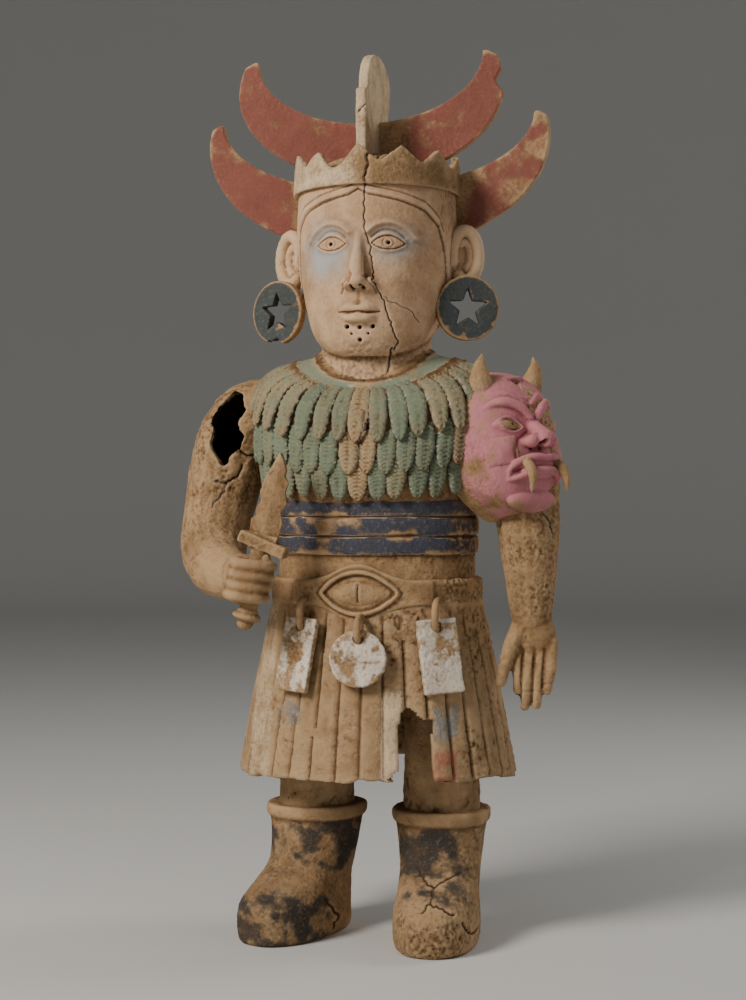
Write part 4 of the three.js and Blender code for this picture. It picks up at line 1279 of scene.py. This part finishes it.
def makeRightArm(sizes):
    x, y, z = sizes["grip"]
    parts = [tube(sizes["right"]), ball((x - 22, y + 12, z), (24, 25, 33))]
    for i in range(4):
        up, lean = z + 20 - i * 13.3, (i - 1.5) * -3
        parts.append(tube([[x - 31 + lean, y + 2, up + 3, 8.4], [x - 14 + lean, y - 23, up + 1, 8],
                           [x + 12 + lean, y - 20, up - 2, 7.4], [x + 21 + lean, y - 4, up - 3, 6.8]]))
    parts.append(tube([[x - 24, y + 18, z + 12, 11], [x - 2, y + 16, z + 25, 9.5],
                       [x + 15, y - 4, z + 27, 8]]))
    o = joined(parts)
    hollow = tube([[-136, 0, 700, 24], [-180, 0, 686, 38], [-203, -1, 640, 38], [-213, -4, 590, 26]])
    edge = jagged([(-176, 716), (-190, 722), (-212, 700), (-219, 684), (-215, 668), (-220, 648), (-206, 626),
                   (-198, 619), (-190, 636), (-178, 646), (-172, 662), (-180, 676), (-171, 694),
                   (-176, 716)], 131, 2.5)
    change(hollow, "REMESH", mode="VOXEL", voxel_size=3 * mm)
    change(o, "REMESH", mode="VOXEL", voxel_size=2.0 * coarse * mm)
    cutAway(o, hollow)
    cutAway(o, slab(edge[:-1], 90, at=(0, -45, 0)))
    melted(o, 1.9, 2)
    co, normal = points(o)
    hand = ramp(-co[:, 1], 92, 118)
    shoulder = ramp(co[:, 2], 560, 610)
    weather(o, np.clip(0.55 + 0.7 * shoulder - 0.5 * hand, 0, 1.3), seed=132, lump=1.3, pit=2.3, scab=1.5)
    co, normal = points(o)
    # The inside of the broken shoulder is painted near black, as painted shade, so that it reads as depth.
    inward = normal[:, 0] * (co[:, 0] + 196) + normal[:, 1] * co[:, 1] < 0
    shadedInside = inward & (np.abs(co[:, 0] + 200) < 42) & (np.abs(co[:, 2] - 650) < 80) & (np.abs(co[:, 1]) < 42)
    paint(o, colours["hollow"], shadedInside * 0.85)
    side = lambda c, n: (c[:, 1] < 10) & (c[:, 0] < -120)
    crack(o, [(-180, 646), (-172, 636), (-160, 634), (-148, 630)], 1.6, 3.2, where=side, seed=133)
    crack(o, [(-176, 622), (-182, 606), (-196, 598), (-212, 600)], 1.6, 2.8, where=side, seed=134)
    crack(o, [(-196, 598), (-204, 580), (-214, 566)], 1.3, 2.4, where=side, seed=135)
    return finishPiece(o, "rightArm", bodyClay)


makeRightArm(armSizes)


def makeLeftArm(sizes):
    parts = [tube(sizes["left"]), ball((213, -9, 396), (30, 18, 40))]
    for knuckle, tip, end in sizes["fingers"]:
        parts.append(tube([[knuckle, -10, 390, 9.5], [knuckle, -20, 358, 9.2],
                           [tip, -22, (358 + end) / 2, 8.2],
                           [tip - 2, -18, end + 4, 6.6]]))
    parts.append(tube([[198, -12, 410, 14], [184, -24, 380, 11], [176, -32, 352, 9.2], [173, -34, 338, 7.6]]))
    o = melted(joined(parts), 1.9, 3)
    # broad lumps all over, then pits on the arm but hardly on the hand
    weather(o, 1, seed=141, lump=1.0, pit=0.1, scab=0.1)
    co, _ = points(o)
    hand = ramp(-co[:, 2], -430, -400)
    weather(o, np.clip(0.75 - 0.65 * hand, 0, 1), seed=142, lump=1.2, pit=2.2, scab=1.4)
    co, normal = points(o)
    push = np.zeros(len(co))
    for knuckle, tip, end in sizes["fingers"][1:]:
        push -= 2.2 * bump(away(co, [(knuckle - 7.5, 380), (tip - 7.5, end + 8)]), 1.6) * (co[:, 1] < -6)
        joint = (358 + end) / 2 - 4
        push -= 0.9 * bump(away(co, [(tip - 6, joint), (tip + 5, joint)]), 1.5) * (co[:, 1] < -20)
    setPoints(o, co + normal * push[:, None])
    # The broken finger's end is painted dark, as painted shade.
    stump = np.linalg.norm(co - [194, -18, 318], axis=1)
    paint(o, colours["crack"], 0.95 * ramp(-stump, -9.5, -6) * (co[:, 2] < 322))
    crack(o, [(228, 560), (236, 548), (240, 532)], 1.0, 1.6, where=facing, seed=144)
    return finishPiece(o, "leftArm", bodyClay)


makeLeftArm(armSizes)

knifeSizes = {"blade": [(-19, 50), (-21, 76), (-15, 81), (-18, 90), (-13, 101), (-18, 112), (-14, 134),
                        (-8, 150),
                        (-2, 167), (5, 157), (11, 145), (10, 138), (17, 130), (15, 118), (20, 104), (15, 92),
                        (20, 78),
                        (19, 50)],
              "thickness": 13, "guard": 47, "low": -66}


def makeKnife(sizes):
    blade = slab(sizes["blade"], sizes["thickness"])
    guard = block((2, 0, sizes["guard"]), (64, 26, 15), (0, 9, 0), edge=1.5)
    low = sizes["low"]
    grip = tube([[0, 0, low + 20, 11.5], [0, 0, -14, 13], [0, 0, 46, 12.5]])
    pommel = joined([ball((0, 0, low + 25), (14, 14, 6)), ball((0, 0, low + 18), (19, 19, 7)),
                     ball((0, 0, low + 9), (11, 11, 9))])
    o = melted(joined([blade, guard, grip, pommel]), 1.2, 1)
    # the blade thins from a ridge down its middle to both edges
    co, _ = points(o)
    onBlade = ramp(co[:, 2], 58, 62)
    co[:, 1] *= 1 - onBlade * 0.75 * np.clip(np.abs(co[:, 0] + 0.5) / 17, 0, 1) ** 1.3
    setPoints(o, co)
    weather(o, 0.5, seed=151, lump=0.9, pit=1.6, scab=0.9)
    place(o, armSizes["grip"], (0, armSizes["lean"], 0))
    return finishPiece(o, "knife", bodyClay)


makeKnife(knifeSizes)
print("arms and knife done")


# Demon mask on the left shoulder, made facing front and then turned into place

maskSizes = {"at": (160, 0, 641), "turn": 52, "lean": -15, "halfWidth": 82, "halfHeight": 98, "depth": 76,
             "grain": 1.25}


def makeMask(sizes):
    w, h, d = sizes["halfWidth"], sizes["halfHeight"], sizes["depth"]
    shell = ball((0, 0, 0), (w, d, h * 1.06), segments=64)
    co, _ = points(shell)
    low = np.clip(-co[:, 2] / h, 0, 1)
    co[:, 0] *= 1 - 0.1 * low ** 2 + 0.10 * bump(co[:, 2] + 62, 22)
    co[:, 2] = np.maximum(co[:, 2], -h + 2)
    setPoints(shell, co)
    # the face is fuller than a ball towards the brow and the jaw
    full = 1 - np.abs(co[:, 0] / w) ** 2.4 - np.abs(co[:, 2] / (h * 1.06)) ** 3.4
    co[:, 1] = np.where(co[:, 1] < -1, -d * np.sqrt(np.clip(full, 0.02, 1)), co[:, 1])
    setPoints(shell, co)
    cutAway(shell, block((0, 62, 0), (300, 100, 300)))
    parts = [shell, tube([[0, -66, 30, 6], [0, -80, 8, 9], [0, -94, -8, 11]]),
             ball((0, -96, -12), (14, 13, 12)),
             ball((0, -50, -82), (42, 16, 16)), ball((0, -72, -46), (32, 16, 13))]
    for side in (-1, 1):
        parts += [
            ball((side * 16, -86, -12), (11, 12, 10)),
            ball((side * 34, -60, 12), (20, 15, 11), (0, side * -14, 0)),
            # brow that swirls up at its outer end
            tube([[side * 6, -82, 20, 5], [side * 18, -80, 34, 6.5], [side * 38, -70, 44, 6.5],
                  [side * 58, -50, 38, 4.5],
                  [side * 70, -34, 26, 3]]),
            tube([[side * 8, -75, 42, 3.8], [side * 26, -68, 54, 4.4], [side * 46, -55, 58, 3.2]]),
            # lips that curl up round the fangs
            tube([[0, -90, -36, 4.5], [side * 14, -88, -34, 5], [side * 30, -78, -36, 4.5],
                  [side * 42, -64, -46, 3.5],
                  [side * 44, -60, -58, 2.5]]),
            tube([[0, -86, -52, 4.5], [side * 16, -84, -52, 5], [side * 32, -74, -56, 4],
                  [side * 42, -62, -58, 3]]),
        ]
    parts.append(tube([[-17, -56, 80, 3.6], [0, -71, 48, 3.6], [17, -56, 80, 3.6], [0, -60, 80, 3.6],
                       [-17, -56, 80, 3.6]],
                      steps=6))
    o = melted(joined(parts), sizes["grain"], 2)
    co, normal = points(o)
    x, y, z = co.T
    push = np.zeros(len(co))
    t = np.linspace(-1, 1, 13)
    bare = np.zeros(len(co))
    for side in (-1, 1):
        middle = np.array([side * 34, 12.0])
        slope = side * 0.18
        shape = lambda up: np.stack([middle[0] + 17 * t, middle[1] + slope * 17 * t + up * (1 - t * t)], 1)
        dx = x - middle[0]
        dz = z - middle[1] - slope * dx
        opening = 1 - (dx / 17) ** 2
        inside = (dz < 8 * opening) & (dz > -6.5 * opening) & (y < -20)
        push += 2.6 * bump(away(co, shape(10.5)), 2.1) + 2.2 * bump(away(co, shape(-9)), 2.1)
        push -= 2.0 * bump(away(co, shape(8)), 1.2) + 1.8 * bump(away(co, shape(-6.5)), 1.2)
        bare = np.maximum(bare, inside)
        push -= 2.6 * bump(away(co, [(side * 12, 2), (side * 26, -6), (side * 34, -20), (side * 34, -30)]),
                           2.4)
        push += 4.0 * bump(away(co, [(side * 44, -16), (side * 52, -24)]), 15)
        push -= 1.6 * bump(away(co, [(side * 10, 34), (side * 16, 42), (side * 30, 48)]), 1.6)
    push -= 3.4 * bump(away(co, [(-38, -48), (-16, -44), (0, -44), (16, -44), (38, -48)]), 2.2)
    push -= 2.5 * bump(away(co, [(0, 36), (0, 28)]), 2.0)
    setPoints(o, co + normal * np.where(y < 0, push, 0)[:, None])
    weather(o, np.clip(0.25 + ramp(np.abs(co[:, 0]), 56, 80) * 0.8, 0, 1), seed=161, lump=1.0, pit=1.6,
            scab=1.0)
    # The nostrils and pupils are pressed in and painted near black, as painted shade.
    for side in (-1, 1):
        dent(o, (side * 8, -20), 4.2, 7, where=facing, towards=(0, 0.6, 0.7))
        dent(o, (side * 34 - side * 2, 13), 2.2, 2.5, where=facing)
    co, normal = points(o)
    # the sunk triangle on the brow
    sunk = ramp(-np.abs(co[:, 0]) - (80 - co[:, 2]) * 0.42, -9, -6)
    sunk *= (co[:, 2] < 78) * (co[:, 2] > 56) * (co[:, 1] < -40)
    setPoints(o, co + np.array([0, 6, 0]) * sunk[:, None])
    edge = ramp(co[:, 1], -16, 4)
    radial = np.sqrt((co[:, 0] / w) ** 2 + (co[:, 2] / h) ** 2)
    cover = 1.0 - 0.75 * edge - 0.4 * ramp(radial, 0.82, 1.0) - 0.45 * ramp(lumps(co, 22, 162, 3), 0.48, 0.72)
    paint(o, colours["pink"], np.clip(np.where(bare > 0, 0, cover), 0, 1))
    # The sunk triangle is painted near black, as painted shade in the recess.
    paint(o, colours["hollow"], sunk * 0.9)
    # horns and fangs keep the bare clay
    plain = []
    for side in (-1, 1):
        plain.append(tube([[side * 42, -38, 66, 18], [side * 47, -46, 84, 14], [side * 49, -52, 98, 9],
                           [side * 47, -55, 108, 4],
                          [side * 46, -56, 112, 2]]))
        plain.append(tube([[side * 26, -80, -38, 6.5], [side * 28, -88, -50, 7], [side * 30, -90, -64, 5.5],
                          [side * 31, -86, -76, 3], [side * 31, -84, -80, 1.6]]))
    horns = melted(joined(plain), 1.4, 2)
    weather(horns, 0.4, seed=163, lump=0.8, pit=1.0, scab=0.6)
    co, _ = points(horns)
    paint(horns, colours["pink"], 0.5 * ramp(-co[:, 2], -78, -66) * (co[:, 2] > 0))
    for piece in (o, horns):
        place(piece, sizes["at"], (sizes["lean"], 0, sizes["turn"]))
    finishPiece(horns, "maskHornsAndFangs", bodyClay)
    return finishPiece(o, "demonMask", wornPaint)


makeMask(maskSizes)
print("mask done")


# Tags and the clay loops that hold them

tagSizes = {
    "tags": [{"name": "leftTag", "node": "left_tag", "x": -75, "width": 50, "height": 96, "lean": 4,
              "holeZ": 412},
             {"name": "roundTag", "node": "round_tag", "x": 5, "radius": 37, "lean": 0, "holeZ": 398},
             {"name": "rightTag", "node": "right_tag", "x": 100, "width": 54, "height": 96, "lean": -4,
              "holeZ": 412}],
    "thickness": 9, "hole": 7, "drop": 11, "loop": 4.4,
}


def skirtFront(x, z):
    (lowZ, lowW, lowD, _), _, _ = skirtSizes["rows"]
    topZ, topW, topD = 441, 142, 106
    t = (topZ - z) / (topZ - lowZ)
    w, d = topW + t * (lowW - topW), topD + t * (lowD - topD)
    return -d * math.sqrt(1 - (x / w) ** 2)


def makeTags(sizes):
    flare = -math.degrees(math.atan2(146 - 106, 441 - 217))
    thick = sizes["thickness"]
    loops = []
    for n, tag in enumerate(sizes["tags"]):
        x, z = tag["x"], tag["holeZ"]
        at = (x, skirtFront(x, z) - thick / 2 - 9, z)
        turn = (flare, 0, math.degrees(math.atan2(x * 0.85, 150)))
        if "radius" in tag:
            r = tag["radius"]
            outline = [(r * math.cos(a), sizes["drop"] - r + r * math.sin(a))
                       for a in np.linspace(0, 2 * math.pi, 80, endpoint=False)]
        else:
            w, h, drop = tag["width"], tag["height"], sizes["drop"]
            outline = [(-w / 2, drop - h), (w / 2, drop - h), (w / 2, drop), (-w / 2, drop)]
        o = slab(outline, thick)
        change(o, "BEVEL", width=2.2 * mm, segments=3, limit_method="ANGLE", angle_limit=math.radians(40))
        hole = slab([(sizes["hole"] * math.cos(a), sizes["hole"] * math.sin(a))
                     for a in np.linspace(0, 2 * math.pi, 24, endpoint=False)], 40)
        cutAway(o, hole)
        melted(o, 1.15, 1)
        weather(o, 0.8, seed=171 + n, lump=0.9, pit=1.3, scab=0.9)
        co, normal = points(o)
        flat = ramp(-normal[:, 1], 0.2, 0.7)
        cover = 0.85 - 0.5 * ramp(lumps(co, 12, 175 + n, 3), 0.48, 0.66) - 0.35 * (1 - flat)
        if tag["name"] == "leftTag":
            cover -= 0.8 * bump(np.hypot((co[:, 0] + 1) / 0.9, (co[:, 2] + 45) / 2.6), 9)
        elif tag["name"] == "roundTag":
            cover -= 0.85 * bump(np.hypot((co[:, 0] + 12), (co[:, 2] + 38) / 1.3), 12)
        else:
            cover -= 0.35 * bump(np.hypot((co[:, 0] + 2) / 0.8, (co[:, 2] + 40) / 2.2), 12)
        paint(o, colours["white"], np.clip(cover, 0, 1))
        place(o, (0, 0, 0), (0, tag["lean"], 0))
        place(o, at, turn)
        finishPiece(o, tag["name"], whiteClay, (tag["node"],))
        start = 421 if "radius" in tag else 441
        front = at[1] - thick - 1.5
        r = sizes["loop"]
        loops.append(tube([[x, skirtFront(x, start) + 4, start + 6, r], [x, front + 3, start - 2, r * 1.1],
                           [x, front, z + 10, r * 1.1], [x, front + 4, z - 0.5, r],
                           [x, skirtFront(x, z) + 6, z - 1.5, r * 0.85]], steps=12))
    o = melted(joined(loops), 0.9, 2)
    weather(o, 0.4, seed=181, lump=0.6, pit=0.8, scab=0.5)
    return finishPiece(o, "tagLoops", bodyClay)


makeTags(tagSizes)
print("tags done")
